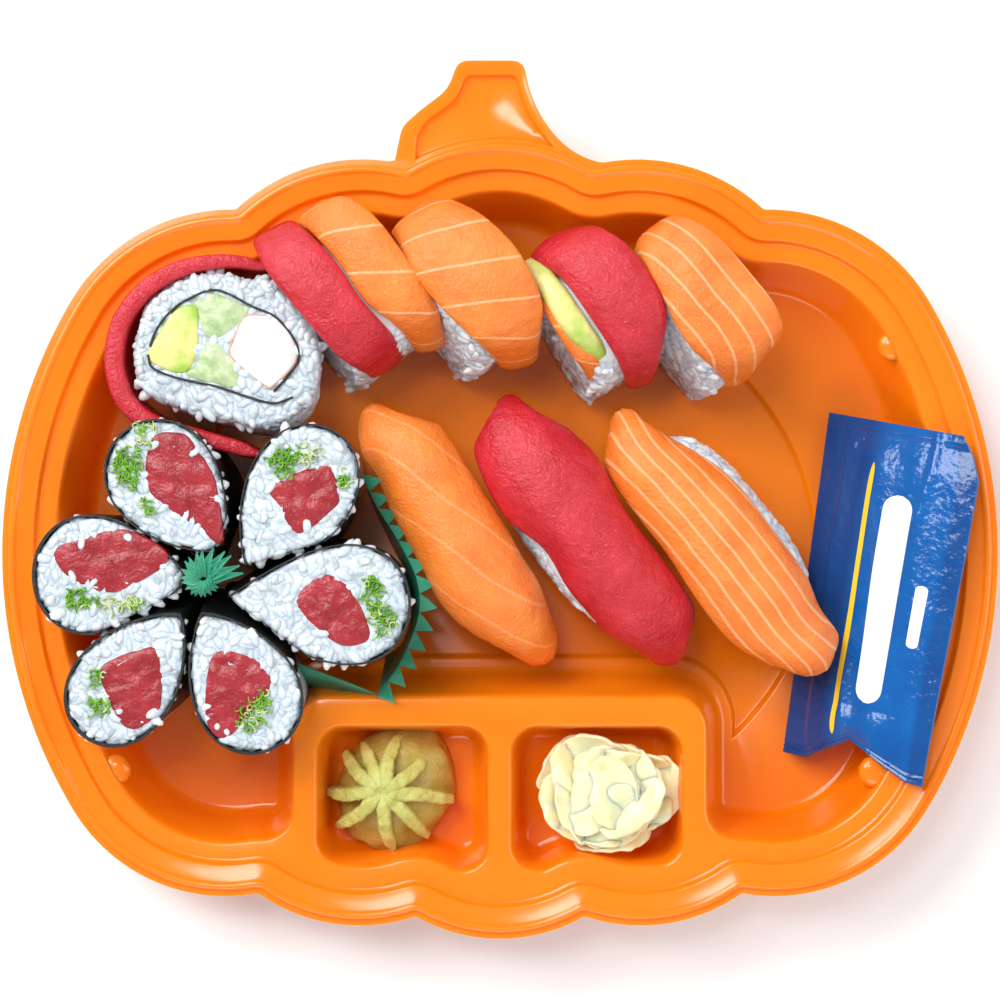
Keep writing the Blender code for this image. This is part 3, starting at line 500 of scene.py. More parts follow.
def ring_solid(rings):
    """Points and faces of a closed solid through rings of equal length, with fans on both ends."""
    rings = np.asarray(rings, float)
    rows, columns = rings.shape[:2]
    points = np.concatenate([rings.reshape(-1, 3), [rings[0].mean(axis=0), rings[-1].mean(axis=0)]])
    faces = grid_faces(rows, columns, wrap=True)
    last = (rows - 1) * columns
    for c in range(columns):
        d = (c + 1) % columns
        faces += [(d, c, rows * columns), (last + c, last + d, rows * columns + 1)]
    return points, faces


def unevenness(points, size, seed=0.0):
    return np.array([noise.noise(Vector(p) / size + Vector((seed, 0, 0))) for p in np.asarray(points)])


def resampled(line, count):
    """Points at equal distances along a polyline."""
    steps = np.linalg.norm(np.diff(line, axis=0), axis=1)
    along = np.concatenate([[0], np.cumsum(steps)])
    at = np.linspace(0, along[-1], count)
    return np.stack([np.interp(at, along, line[:, k]) for k in range(line.shape[1])], axis=1)


def smooth_line(points, count, closed=False):
    """A Catmull-Rom curve through the points, as this many points at equal distances."""
    points = np.asarray(points, float)
    if closed:
        ends = np.concatenate([points[-1:], points, points[:2]])
    else:
        ends = np.concatenate([2 * points[:1] - points[1:2], points, 2 * points[-1:] - points[-2:-1]])
    t = np.linspace(0, 1, 12, endpoint=False)[:, None]
    pieces = []
    for a, b, c, d in zip(ends, ends[1:], ends[2:], ends[3:]):
        pieces.append(0.5 * (2 * b + (c - a) * t + (2 * a - 5 * b + 4 * c - d) * t**2
                             + (3 * b - a - 3 * c + d) * t**3))
    curve = np.concatenate([*pieces, ends[-2:-1]])
    return resampled(curve, count + 1)[:-1] if closed else resampled(curve, count)


def slab(corners, low, top, edge=0.7, bulge=0.4, rough=0.15, count=64):
    """A flat piece of food from its outline, with a rounded upper edge and an uneven top."""
    loop = smooth_line(corners, count, closed=True)
    centre = loop.mean(axis=0)
    reach = np.linalg.norm(loop - centre, axis=1)[:, None]
    rings = []
    for inset, z in ((0, low), (0, top - edge), (0.3 * edge, top - 0.3 * edge), (edge, top)):
        ring = centre + (loop - centre) * (1 - inset / reach)
        rings.append(np.column_stack([ring, np.full(count, z)]))
    for share in (0.85, 0.7, 0.55, 0.4, 0.25, 0.12):
        ring = centre + (loop - centre) * (1 - edge / reach) * share
        rings.append(np.column_stack([ring, np.full(count, top + bulge * (1 - share**2))]))
    rings = np.array(rings)
    flat = rings.reshape(-1, 3)
    flat[2 * count:, 2] += rough * unevenness(flat[2 * count:], 2.6) * 2
    return ring_solid(flat.reshape(rings.shape))


def strip(path, thickness, low, top, corner=0.45, count=20):
    """An upright wall along a path seen from above. The thickness and the heights may vary along it."""
    path = np.asarray(path, float)
    rows = len(path)
    ahead = np.gradient(path, axis=0)
    ahead /= np.linalg.norm(ahead, axis=1)[:, None]
    side = np.column_stack([-ahead[:, 1], ahead[:, 0]])
    thickness, low, top = (np.broadcast_to(np.asarray(v, float), rows) for v in (thickness, low, top))
    rings = []
    for i in range(rows):
        ring = []
        for t in np.linspace(0, 2 * math.pi, count, endpoint=False):
            c, s = math.cos(t), math.sin(t)
            aside = thickness[i] / 2 * math.copysign(abs(c) ** corner, c)
            z = (low[i] + top[i]) / 2 + (top[i] - low[i]) / 2 * math.copysign(abs(s) ** 0.15, s)
            ring.append((*(path[i] + side[i] * aside), z))
        rings.append(ring)
    return ring_solid(rings)


def inside(points, loop):
    """Which of the points lie inside a closed outline."""
    x, y = points[:, 0][:, None], points[:, 1][:, None]
    loop = np.asarray(loop, float)
    after = np.roll(loop, -1, axis=0)
    crosses = (loop[:, 1] > y) != (after[:, 1] > y)
    with np.errstate(divide="ignore", invalid="ignore"):
        at = (after[:, 0] - loop[:, 0]) * (y - loop[:, 1]) / (after[:, 1] - loop[:, 1]) + loop[:, 0]
    return (crosses & (x < at)).sum(axis=1) % 2 == 1


# ---- rice --------------------------------------------------------------------------------------------------

GRAIN_HALF_SIZES = (2.8, 1.35, 1.15)
GRAIN_SPACING = 1.75


def unit_ball():
    ball = bmesh.new()
    bmesh.ops.create_icosphere(ball, subdivisions=2, radius=1.0)
    points = np.array([vert.co[:] for vert in ball.verts])
    faces = [tuple(vert.index for vert in face.verts) for face in ball.faces]
    ball.free()
    return points, faces


def spread_over(points, faces, spacing, keep):
    """Places on a surface at least this far apart, with their normals, where keep() says so."""
    triangles = []
    for face in faces:
        triangles += [(face[0], face[k], face[k + 1]) for k in range(1, len(face) - 1)]
    corners = np.asarray(points)[np.array(triangles)]
    cross = np.cross(corners[:, 1] - corners[:, 0], corners[:, 2] - corners[:, 0])
    if np.einsum("ij,ij->i", corners[:, 0] - corners.mean(axis=(0, 1)), cross).sum() < 0:
        cross = -cross
    area = np.linalg.norm(cross, axis=1) / 2
    tries = int(area.sum() / spacing**2 * 7)
    picked = RANDOM.choice(len(area), tries, p=area / area.sum())
    u, v = RANDOM.random(tries), RANDOM.random(tries)
    over = u + v > 1
    u[over], v[over] = 1 - u[over], 1 - v[over]
    a, b, c = corners[picked].transpose(1, 0, 2)
    places = a + u[:, None] * (b - a) + v[:, None] * (c - a)
    normals = cross[picked] / (2 * area[picked][:, None] + 1e-9)
    wanted = keep(places, normals)
    places, normals = places[wanted], normals[wanted]
    kept = []
    for i, place in enumerate(places):
        if not kept or np.min(np.sum((places[kept] - place) ** 2, axis=1)) > spacing**2:
            kept.append(i)
    return places[kept], normals[kept]


def grains(places, normals, sunk=0.65):
    """Rice grains lying on a surface at these places."""
    ball, ball_faces = unit_ball()
    parts = []
    for place, normal in zip(places, normals):
        lean = RANDOM.normal(size=3)
        along = lean - normal * (lean @ normal) * 0.95
        along /= np.linalg.norm(along)
        aside = np.cross(normal, along)
        aside /= np.linalg.norm(aside)
        up = np.cross(along, aside)
        size = np.array(GRAIN_HALF_SIZES) * RANDOM.uniform(0.82, 1.12, 3)
        shape = ball * size
        shape[:, 1] += 0.035 * shape[:, 0] ** 2 * RANDOM.choice((-1, 1))
        middle = place + normal * RANDOM.uniform(-sunk - 0.35, -sunk + 0.1)
        parts.append((middle + shape @ np.array([along, aside, up]), ball_faces))
    return joined(parts)


# ---- the tray ----------------------------------------------------------------------------------------------

def direction(from_point, to_point):
    return math.atan2(to_point[1] - from_point[1], to_point[0] - from_point[0])


def meeting_point(centre_a, radius_a, centre_b, radius_b):
    """Where two circles cross, on the right of the way from the first centre to the second."""
    apart = math.dist(centre_a, centre_b)
    along = (apart**2 + radius_a**2 - radius_b**2) / (2 * apart)
    aside = math.sqrt(radius_a**2 - along**2)
    ux, uy = (centre_b[0] - centre_a[0]) / apart, (centre_b[1] - centre_a[1]) / apart
    return centre_a[0] + along * ux + aside * uy, centre_a[1] + along * uy - aside * ux


def convex_arc(centre, radius, start, end):
    """An arc that bulges out of an outline that runs anticlockwise. Its angles grow."""
    return centre, radius, start, start + (end - start) % (2 * math.pi), 1


def concave_arc(centre, radius, start, end):
    """An arc that bites into the outline, so its angles fall."""
    return centre, radius, start, start - (start - end) % (2 * math.pi), -1


def notch_between(lobe_a, lobe_b):
    """The small arc that rounds the notch where one lobe meets the next."""
    (centre_a, radius_a), (centre_b, radius_b) = lobe_a, lobe_b
    centre = meeting_point(centre_a, radius_a + NOTCH_RADIUS, centre_b, radius_b + NOTCH_RADIUS)
    return concave_arc(centre, NOTCH_RADIUS, direction(centre, centre_a), direction(centre, centre_b))


def mirrored(arcs):
    return [
        ((-centre[0], centre[1]), radius, math.pi - end, math.pi - start, turn)
        for centre, radius, start, end, turn in arcs[::-1]
    ]


def outline(arcs, inset=0.0, step=ARC_STEP):
    """The outline's points, moved in by the inset."""
    points = []
    for centre, radius, start, end, turn in arcs:
        fine = min(step, SHORT_ARC_STEP) if radius < 10 else step
        count = max(2, math.ceil(abs(end - start) * max(radius, 6.0) / fine))
        moved = radius - turn * inset
        for i in range(count + 1):
            angle = start + (end - start) * i / count
            points.append((centre[0] + moved * math.cos(angle), centre[1] + moved * math.sin(angle)))
    return [p for p, before in zip(points, points[-1:] + points) if math.dist(p, before) > 0.005]


def touching_lobe(centre):
    return centre, SIDE_RADIUS - math.dist(centre, SIDE_CENTRE)


def lobe_arcs(lobes, start, end):
    """Arcs along a row of lobes with a rounded notch between each two."""
    arcs = []
    for lobe, following in zip(lobes, lobes[1:]):
        notch = notch_between(lobe, following)
        arcs += [convex_arc(*lobe, start, notch[2] + math.pi), notch]
        start = notch[3] + math.pi
    return [*arcs, convex_arc(*lobes[-1], start, end)]


def pumpkin_half():
    """Arcs from the bottom middle to the top middle, up the +X side."""
    lower = direction(SIDE_CENTRE, LOWER_SIDE_LOBE)
    upper = direction(SIDE_CENTRE, UPPER_SIDE_LOBE)
    return [
        *lobe_arcs([*BOTTOM_LOBES, touching_lobe(LOWER_SIDE_LOBE)], -math.pi / 2, lower),
        convex_arc(SIDE_CENTRE, SIDE_RADIUS, lower, upper),
        *lobe_arcs([touching_lobe(UPPER_SIDE_LOBE), *TOP_LOBES], upper, math.pi / 2),
    ]


def pocket_half():
    """The large compartment's upper edge, from the middle of the block to the top middle."""
    grown = [(c, r - turn * POCKET_EDGE, a, b, turn) for c, r, a, b, turn in pumpkin_half()]
    notch_centre, notch_radius, _, notch_end, _ = grown[3]
    corner_x = BLOCK_HALF_WIDTH + POCKET_CORNER
    reach = notch_radius + POCKET_CORNER
    corner_y = notch_centre[1] + math.sqrt(reach**2 - (corner_x - notch_centre[0]) ** 2)
    corner = (corner_x, corner_y)
    block_corner = (BLOCK_HALF_WIDTH - BLOCK_CORNER, BLOCK_TOP - BLOCK_CORNER)
    return [
        concave_arc(block_corner, BLOCK_CORNER, math.pi / 2, 0.0),
        convex_arc(corner, POCKET_CORNER, math.pi, direction(corner, notch_centre)),
        concave_arc(notch_centre, notch_radius, direction(notch_centre, corner), notch_end),
        *grown[4:],
    ]


def well_arcs():
    """The well on the +X side. Its lower edge follows the pumpkin's lobes."""
    (middle, middle_radius), (inner, inner_radius) = BOTTOM_LOBES
    notch = pumpkin_half()[1]
    left, right = WELL_X[0] + WELL_CORNER, WELL_X[1] - WELL_CORNER
    reach_left = middle_radius - WELL_EDGE - WELL_CORNER
    reach_right = inner_radius - WELL_EDGE - WELL_CORNER
    low_left = (left, middle[1] - math.sqrt(reach_left**2 - (left - middle[0]) ** 2))
    low_right = (right, inner[1] - math.sqrt(reach_right**2 - (right - inner[0]) ** 2))
    top = WELL_TOP - WELL_CORNER
    turn_left, turn_right = direction(middle, low_left), direction(inner, low_right)
    return [
        convex_arc(low_left, WELL_CORNER, math.pi, turn_left),
        convex_arc(middle, middle_radius - WELL_EDGE, turn_left, notch[2] + math.pi),
        concave_arc(notch[0], notch[1] + WELL_EDGE, notch[2], notch[3]),
        convex_arc(inner, inner_radius - WELL_EDGE, notch[3] + math.pi, turn_right),
        convex_arc(low_right, WELL_CORNER, turn_right, 0.0),
        convex_arc((right, top), WELL_CORNER, 0.0, math.pi / 2),
        convex_arc((left, top), WELL_CORNER, math.pi / 2, math.pi),
    ]


def rounded_path(corners, step=SHORT_ARC_STEP):
    """Points along an open path whose corners are rounded, each by its own radius."""
    points = [corners[0][0]]
    for (before, _), (corner, radius), (after, _) in zip(corners, corners[1:], corners[2:]):
        corner = np.array(corner)
        to_before, to_after = np.array(before) - corner, np.array(after) - corner
        to_before /= np.linalg.norm(to_before)
        to_after /= np.linalg.norm(to_after)
        half = math.acos(float(np.clip(to_before @ to_after, -1, 1))) / 2
        cut = radius / math.tan(half)
        first, last = corner + cut * to_before, corner + cut * to_after
        count = max(1, math.ceil((math.pi - 2 * half) * radius / step))
        for t in np.linspace(0, 1, count + 1):
            points.append(tuple((1 - t) ** 2 * first + 2 * t * (1 - t) * corner + t * t * last))
    points.append(corners[-1][0])
    return points


def moved_in(points, distance):
    """A closed anticlockwise outline moved in by a distance, point by point along its normals."""
    loop = np.array(points)
    before = loop - np.roll(loop, 1, axis=0)
    after = np.roll(loop, -1, axis=0) - loop
    before /= np.linalg.norm(before, axis=1)[:, None]
    after /= np.linalg.norm(after, axis=1)[:, None]
    normal = np.stack([-(before + after)[:, 1], (before + after)[:, 0]], axis=1)
    length = np.linalg.norm(normal, axis=1)[:, None]
    return [tuple(p) for p in loop + normal / length * np.minimum(2 / length, 1.6) * distance]


def stem_panel():
    """The sunk field of the stem, closed below by an arc just outside the top middle lobe's bead."""
    path = rounded_path(STEM_FIELD_CORNERS)[::-1]
    centre, radius = TOP_LOBES[-1]
    foot_radius = radius - BEAD_START + STEM_FIELD_GAP
    angles = np.linspace(direction(centre, path[-1]), direction(centre, path[0]), 30)[1:-1]
    foot = [(centre[0] + foot_radius * math.cos(a), centre[1] + foot_radius * math.sin(a)) for a in angles]
    return [*path, *foot]


def rim_outline():
    """The tray's outer edge: the pumpkin's, with the stem in place of the top middle lobe's outer part."""
    half = pumpkin_half()
    points = outline([*half, *mirrored(half)])
    stem = rounded_path(STEM_CORNERS)
    left, right = stem[0][0], stem[-1][0]
    centre_y = TOP_LOBES[-1][0][1]
    rest = [p for p in points if not (left - 0.5 < p[0] < right + 0.5 and p[1] > centre_y)]
    gap = max(range(len(rest)), key=lambda i: math.dist(rest[i], rest[(i + 1) % len(rest)]))
    return [*rest[: gap + 1], *stem[::-1], *rest[gap + 1:]]


def panel_outline():
    """The sunk panel: an ellipse whose lower part makes way for the block."""
    half_x, half_y = PANEL_HALF_SIZES
    side, top = BLOCK_HALF_WIDTH + PANEL_BLOCK_GAP, BLOCK_TOP + PANEL_BLOCK_GAP
    start = -math.acos(side / half_x)
    angles = np.linspace(start, math.pi - start, 150)
    ellipse = [(half_x * math.cos(a), SIDE_CENTRE[1] + half_y * math.sin(a)) for a in angles]
    radius = BLOCK_CORNER + PANEL_BLOCK_GAP
    right = outline([convex_arc((side - radius, top - radius), radius, 0.0, math.pi / 2)])
    left = [(-x, y) for x, y in right]
    return [*ellipse, *left[1:], *right[:0:-1]]


def ring_at(mesh_data, points, z):
    return [mesh_data.verts.new((x, y, z)) for x, y in points]


def bridge(mesh_data, lower, upper):
    for i in range(len(lower)):
        j = (i + 1) % len(lower)
        mesh_data.faces.new((lower[i], lower[j], upper[j], upper[i]))


def fill_between(mesh_data, rings):
    """Triangles over a flat area: inside the first ring and outside the others."""
    edges = []
    for ring in rings:
        for vert, following in zip(ring, ring[1:] + ring[:1]):
            edges.append(mesh_data.edges.get((vert, following)) or mesh_data.edges.new((vert, following)))
    made = bmesh.ops.triangle_fill(mesh_data, edges=edges, use_beauty=True, normal=(0, 0, 1))
    for face in made["geom"]:
        if isinstance(face, bmesh.types.BMFace):
            face.normal_update()
            if face.normal.z < 0:
                face.normal_flip()


def run_down(mesh_data, outline_at, profile):
    """Rings along a profile of (inset, height), bridged. Returns the first and the last."""
    rings = [ring_at(mesh_data, outline_at(inset), z) for inset, z in profile]
    for outer, inner in zip(rings, rings[1:]):
        bridge(mesh_data, outer, inner)
    return rings[0], rings[-1]


def add_underside(mesh_data):
    """Makes the open upper surface a closed wall."""
    mesh_data.normal_update()
    border = [edge for edge in mesh_data.edges if edge.is_boundary]
    faces = list(mesh_data.faces)
    under = {}
    for vert in list(mesh_data.verts):
        point = vert.co - vert.normal * WALL
        if vert.co.z - PANEL_Z < 0.05:
            point.z = 0.0
        under[vert] = mesh_data.verts.new(point)
    for edge in border:
        loop = edge.link_loops[0]
        ahead, behind = loop.vert, loop.link_loop_next.vert
        mesh_data.faces.new((behind, ahead, under[ahead], under[behind]))
    for face in faces:
        mesh_data.faces.new([under[vert] for vert in face.verts][::-1])


def build_tray():
    mesh_data = bmesh.new()
    half = pumpkin_half()
    pumpkin = [*half, *mirrored(half)]
    pocket = pocket_half()
    pocket = [*pocket, *mirrored(pocket)]
    lip, shelf = run_down(mesh_data, lambda inset: outline(pumpkin, inset), RIM_PROFILE)
    pocket_edge, floor_edge = run_down(mesh_data, lambda inset: outline(pocket, inset), POCKET_PROFILE)
    well_edges = []
    right_well = well_arcs()
    for arcs in (right_well, mirrored(right_well)):
        edge, well_floor = run_down(mesh_data, lambda inset: outline(arcs, inset), WELL_PROFILE)
        fill_between(mesh_data, [well_floor])
        well_edges.append(edge)
    fill_between(mesh_data, [shelf, pocket_edge, *well_edges])
    panel = panel_outline()
    step_top, step_foot = run_down(mesh_data, lambda inset: moved_in(panel, inset), PANEL_PROFILE)
    fill_between(mesh_data, [floor_edge, step_top])
    fill_between(mesh_data, [step_foot])
    stem_field = stem_panel()
    stem_edge, stem_foot = run_down(mesh_data, lambda inset: moved_in(stem_field, inset), STEM_PROFILE)
    fill_between(mesh_data, [stem_foot])
    rim = ring_at(mesh_data, rim_outline(), LIP_Z)
    fill_between(mesh_data, [rim, lip, stem_edge])
    add_underside(mesh_data)
    mesh_data.verts.index_update()
    points = np.array([vert.co[:] for vert in mesh_data.verts])
    faces = [tuple(vert.index for vert in face.verts) for face in mesh_data.faces]
    mesh_data.free()
    ball, ball_faces = unit_ball()
    parts = [(points, faces)]
    for x, y in LOCK_BUMPS:
        parts.append((ball * (4.0, 4.0, 1.6) + (x, y, 21.6), ball_faces))
    add_piece("tray_moulding", *joined(parts), "tray", "tray", sharp=60.0)


# ---- rolls -------------------------------------------------------------------------------------------------

def turned(points, angle):
    c, s = math.cos(angle), math.sin(angle)
    return [(x * c - y * s, x * s + y * c) for x, y in points]


def pressed_flat(x, y, number, gap=0.15):
    """A point of a roll moved to its own side of the planes that it shares with its neighbours."""
    for boundary, side in ((FLOWER_BOUNDARIES[number - 1], -1), (FLOWER_BOUNDARIES[number], 1)):
        angle = math.radians(boundary)
        nx, ny = -math.sin(angle) * side, math.cos(angle) * side
        over = (x - FLOWER_CENTRE[0]) * nx + (y - FLOWER_CENTRE[1]) * ny - gap
        if over < 0:
            x, y = x - over * nx, y - over * ny
    reach = math.dist((x, y), FLOWER_CENTRE)
    if reach < FLOWER_HEART:
        middle = math.radians((FLOWER_BOUNDARIES[number - 1] + FLOWER_BOUNDARIES[number]) / 2)
        along = math.sqrt(FLOWER_HEART**2 - reach**2)
        x, y = x + along * math.cos(middle), y + along * math.sin(middle)
    return x, y


def drop_loop(number, tip, back, width, sharpness, lean, share, scale, count=110):
    """The roll's outline at a share of its height."""
    length = math.dist(tip, back)
    middle = ((tip[0] + back[0]) / 2, (tip[1] + back[1]) / 2)
    widest = max(math.sin(t) * math.sin(t / 2) ** sharpness for t in np.linspace(0, math.pi, 50))
    loop = []
    for i in range(count):
        t = 2 * math.pi * (i + 0.5) / count
        side = math.sin(t) * abs(math.sin(t / 2)) ** sharpness / widest
        loop.append((math.cos(t) * length / 2, side * width / 2))
    loop = turned(loop, direction(back, tip))
    dx, dy = middle[0] + lean[0] * (1 - share), middle[1] + lean[1] * (1 - share)
    return np.array([pressed_flat(dx + x * scale, dy + y * scale, number) for x, y in loop])


def with_z(loop, z):
    return np.column_stack([loop, np.full(len(loop), z)])


def build_drop_roll(number, tip, back, width, sharpness, lean):
    name = f"teardrop_roll_{number}"
    foot = FLOOR_Z + 0.4
    height = DROP_ROLL_TOP - foot

    def loop(share, scale):
        return drop_loop(number, tip, back, width, sharpness, lean, share, scale)

    outer = [with_z(loop(s, 1.0 + 0.012 * math.sin(9 * s + number)), foot + height * s * 0.985)
             for s in np.linspace(0, 1, 8)]
    inner = [with_z(loop(1.0, 0.965), foot + height * z) for z in (0.985, 0.80)]
    add_piece(f"{name}_nori", *ring_solid([*outer, *inner]), "nori", name)

    edge = loop(1.0, 0.95)
    top = DROP_ROLL_TOP - 1.0
    body = slab(edge[::2], foot + 1, top, edge=1.0, bulge=0.3, rough=0.5)
    tuna = TUNA_CORES[number - 1]
    tuna_loop = smooth_line(tuna, 48, closed=True)
    middle = tuna_loop.mean(axis=0)
    hole = middle + (tuna_loop - middle) * 0.97
    patches = ONION[number - 1]

    def keep(places, normals):
        free = (normals[:, 2] > 0.4) & (places[:, 2] > top - 1.6) & ~inside(places, hole)
        for at, sizes, _, _ in patches:
            away = ((places[:, :2] - at) / np.array(sizes) * 1.25) ** 2
            free &= away.sum(axis=1) > 1
        return free

    places, normals = spread_over(*body, GRAIN_SPACING, keep)
    add_piece(f"{name}_rice", *joined([body, grains(places, normals, 0.82)]), "rice", name, sharp=180)
    core = slab(tuna, top - 6, top + 0.45, edge=0.5, bulge=0.2, rough=0.3)
    add_piece(f"{name}_tuna", *core, "tuna_core", name)
    for kind in ("onion_green", "onion_pale"):
        bits = []
        for at, sizes, green, count in patches:
            share = green if kind == "onion_green" else 1 - green
            bits += onion_bits(at, sizes, round(count * share), top + 0.1)
        if bits:
            add_piece(f"{name}_{kind}", *joined(bits), kind, name)


def onion_bits(at, sizes, count, z):
    """Chopped onion: short curved shreds and cut rings in a patch."""
    bits = []
    for _ in range(count):
        angle, reach = RANDOM.uniform(0, 2 * math.pi), math.sqrt(RANDOM.random())
        x, y = at[0] + sizes[0] * reach * math.cos(angle), at[1] + sizes[1] * reach * math.sin(angle)
        length, radius = RANDOM.uniform(1.0, 2.2), RANDOM.uniform(0.28, 0.5)
        heading, bend = RANDOM.uniform(0, 2 * math.pi), RANDOM.uniform(0.5, 2.4)
        rise = RANDOM.uniform(-0.3, 0.8)
        rings = []
        for s in np.linspace(-1, 1, 6):
            turn = heading + bend * s
            ahead = length * math.sin(bend * s) / bend
            across = length * (1 - math.cos(bend * s)) / bend
            cx = x + ahead * math.cos(heading) - across * math.sin(heading)
            cy = y + ahead * math.sin(heading) + across * math.cos(heading)
            ring = []
            for t in np.linspace(0, 2 * math.pi, 7, endpoint=False):
                aside, up = radius * math.cos(t) * 0.6, radius * math.sin(t) * 1.5
                ring.append((cx - math.sin(turn) * aside, cy + math.cos(turn) * aside,
                             z + rise * s + 0.5 + up))
            rings.append(ring)
        bits.append(ring_solid(rings))
    return bits


def build_flat_roll():
    node = "rainbow_roll_flat"
    top = FLAT_ROLL_TOP - 1.0
    rice = smooth_line(FLAT_RICE, 96, closed=True)
    middle = rice.mean(axis=0)
    foot = [with_z(middle + (1.2, -3.6) + (rice - middle) * s, z) for s, z in ((0.84, 2.6), (0.90, 6.0))]
    top_part = slab(FLAT_RICE, top - 3, top, edge=1.4, bulge=0.1, rough=0.4, count=96)
    body = ring_solid([*foot, with_z(rice, top - 2.5)])
    fillings = [AVOCADO_WEDGE, *CUCUMBERS, CRAB_STICK]

    def keep(places, normals):
        free = (places[:, 2] > 12) & (normals[:, 2] > -0.3)
        for corners in fillings:
            free &= ~inside(places, corners)
        return free

    grain_parts = []
    for part in (top_part, body):
        grain_parts.append(grains(*spread_over(*part, GRAIN_SPACING, keep)))
    add_piece("flat_roll_rice", *joined([body, top_part, *grain_parts]), "rice", node, sharp=180)
    path = smooth_line(FLAT_DRAPE, 70)
    share = np.linspace(0, 1, 70)
    thickness = np.interp(share, (0, 0.04, 0.25, 0.6, 0.95, 1), (1.5, 3.0, 4.4, 5.0, 3.6, 1.2))
    drape_top = np.interp(share, (0, 0.2, 0.7, 1), (28.0, 29.8, 29.6, 25.0))
    add_piece("flat_roll_tuna", *strip(path, thickness, 6.0, drape_top), "tuna", node)
    for i, line in enumerate(FLAT_NORI):
        wall = strip(smooth_line(line, 60), 0.6, top - 4, top + 0.9, count=10)
        add_piece(f"flat_roll_nori_{i + 1}", *wall, "nori", node)
    add_piece("flat_roll_avocado", *slab(AVOCADO_WEDGE, top - 4, top + 0.6, rough=0.1), "avocado", node)
    for i, corners in enumerate(CUCUMBERS):
        stick = slab(corners, top - 4, top + 0.3, rough=0.3)
        add_piece(f"flat_roll_cucumber_{i + 1}", *stick, "cucumber", node)
    crab = slab(CRAB_STICK, top - 4, top + 0.7, edge=0.4, bulge=0.2, rough=0.1)
    add_piece("flat_roll_crab", *crab, "crab", node)
    skin = smooth_line(CRAB_STICK, 64, closed=True)
    skin = strip(np.concatenate([skin, skin[:1]]), 0.45, top - 3.5, top + 0.45, count=10)
    add_piece("flat_roll_crab_skin", *skin, "crab_skin", node)


def edge_roll_body(middle, heading, length, thickness, height, shrink=0.76):
    """The slice of roll under its fish: a round-topped section with a flat foot."""
    foot = FLOOR_Z + 0.5
    angle = math.radians(heading)
    ux, uy = math.cos(angle), math.sin(angle)
    rings = []
    for share, scale in ((-0.5, 0.86), (-0.46, 0.95), (-0.3, 1.0), (0.3, 1.0), (0.46, 0.95), (0.5, 0.86)):
        x, y = middle[0] + uy * thickness * share, middle[1] - ux * thickness * share
        ring = []
        for t in np.linspace(0, 2 * math.pi, 60, endpoint=False):
            c, s = math.cos(t), math.sin(t)
            along = length / 2 * math.copysign(abs(c) ** 0.8, c)
            up = (1 + math.copysign(abs(s) ** (0.8 if s > 0 else 0.45), s)) / 2
            reach = along * scale * shrink * (EDGE_ROLL_FOOT + (1 - EDGE_ROLL_FOOT) * up)
            z = foot + (height - 4.5 - foot) * up * scale
            dx, dy = EDGE_ROLL_LEAN[0] * (1 - up), EDGE_ROLL_LEAN[1] * (1 - up)
            ring.append((x + dx + ux * reach, y + dy + uy * reach, z))
        rings.append(ring)
    return ring_solid(rings[::-1])


def build_edge_roll(number, sizes):
    node = f"rainbow_roll_{number}"
    body = edge_roll_body(*sizes)
    top = sizes[-1]

    def keep(places, normals):
        return (normals[:, 2] < 0.75) & (places[:, 2] > 5) & (places[:, 2] < top - 4)

    places, normals = spread_over(*body, GRAIN_SPACING, keep)
    add_piece(f"{node}_rice", *joined([body, grains(places, normals)]), "rice", node, sharp=180)


def build_fish(name, node, kind, left, right, heights, thickness, hang, lines):
    """A slice of fish laid over its rice: its long edges seen from above, bent down at both ends."""
    rows, columns = 72, 44
    spread = (1 + np.sin(np.linspace(-math.pi / 2, math.pi / 2, rows))) / 2
    fine = 300
    picks = np.clip((spread * (fine - 1)).round().astype(int), 0, fine - 1)
    left, right = smooth_line(left, fine)[picks], smooth_line(right, fine)[picks]
    centre, half = (left + right) / 2, (right - left) / 2
    far, back, near = heights
    w = 2 * spread - 1
    low = np.where(w < 0, far, near)
    z = low + (back - low) * np.sqrt(np.maximum(0, 1 - np.abs(w) ** 2.8))
    spine = np.column_stack([centre, z])
    ahead = np.gradient(spine, axis=0)
    ahead /= np.linalg.norm(ahead, axis=1)[:, None] + 1e-9
    side = np.column_stack([half, np.zeros(rows)])
    width = np.linalg.norm(half, axis=1)
    normal = np.cross(ahead, side / width[:, None])
    normal /= np.linalg.norm(normal, axis=1)[:, None] + 1e-9
    deep = thickness * (0.3 + 0.7 * np.sqrt(1 - np.abs(w) ** 8))
    along = np.concatenate([[0], np.cumsum(np.linalg.norm(np.diff(spine, axis=0), axis=1))])
    rings, sheet = [], []
    for i in range(rows):
        for t in np.linspace(0, 2 * math.pi, columns, endpoint=False):
            c, s = math.cos(t), math.sin(t)
            across = math.copysign(abs(c) ** 0.5, c)
            depth = deep[i] * (1 - math.copysign(abs(s) ** 0.5, s)) / 2 + hang * abs(across) ** 2.4
            rings.append(spine[i] + side[i] * across - normal[i] * depth)
            sheet.append((across * width[i] / 10, along[i] / 10))
    rings = np.array(rings)
    relief = 0.5 * unevenness(rings, 7.0, 3.0) + 0.2 * unevenness(rings, 2.2)
    rings += np.repeat(normal, columns, axis=0) * relief[:, None]
    points, faces = ring_solid(rings.reshape(rows, columns, 3))
    sheet += [sheet[0], sheet[-1]]
    add_piece(name, points, faces, name if lines else kind, node, sheet=sheet)


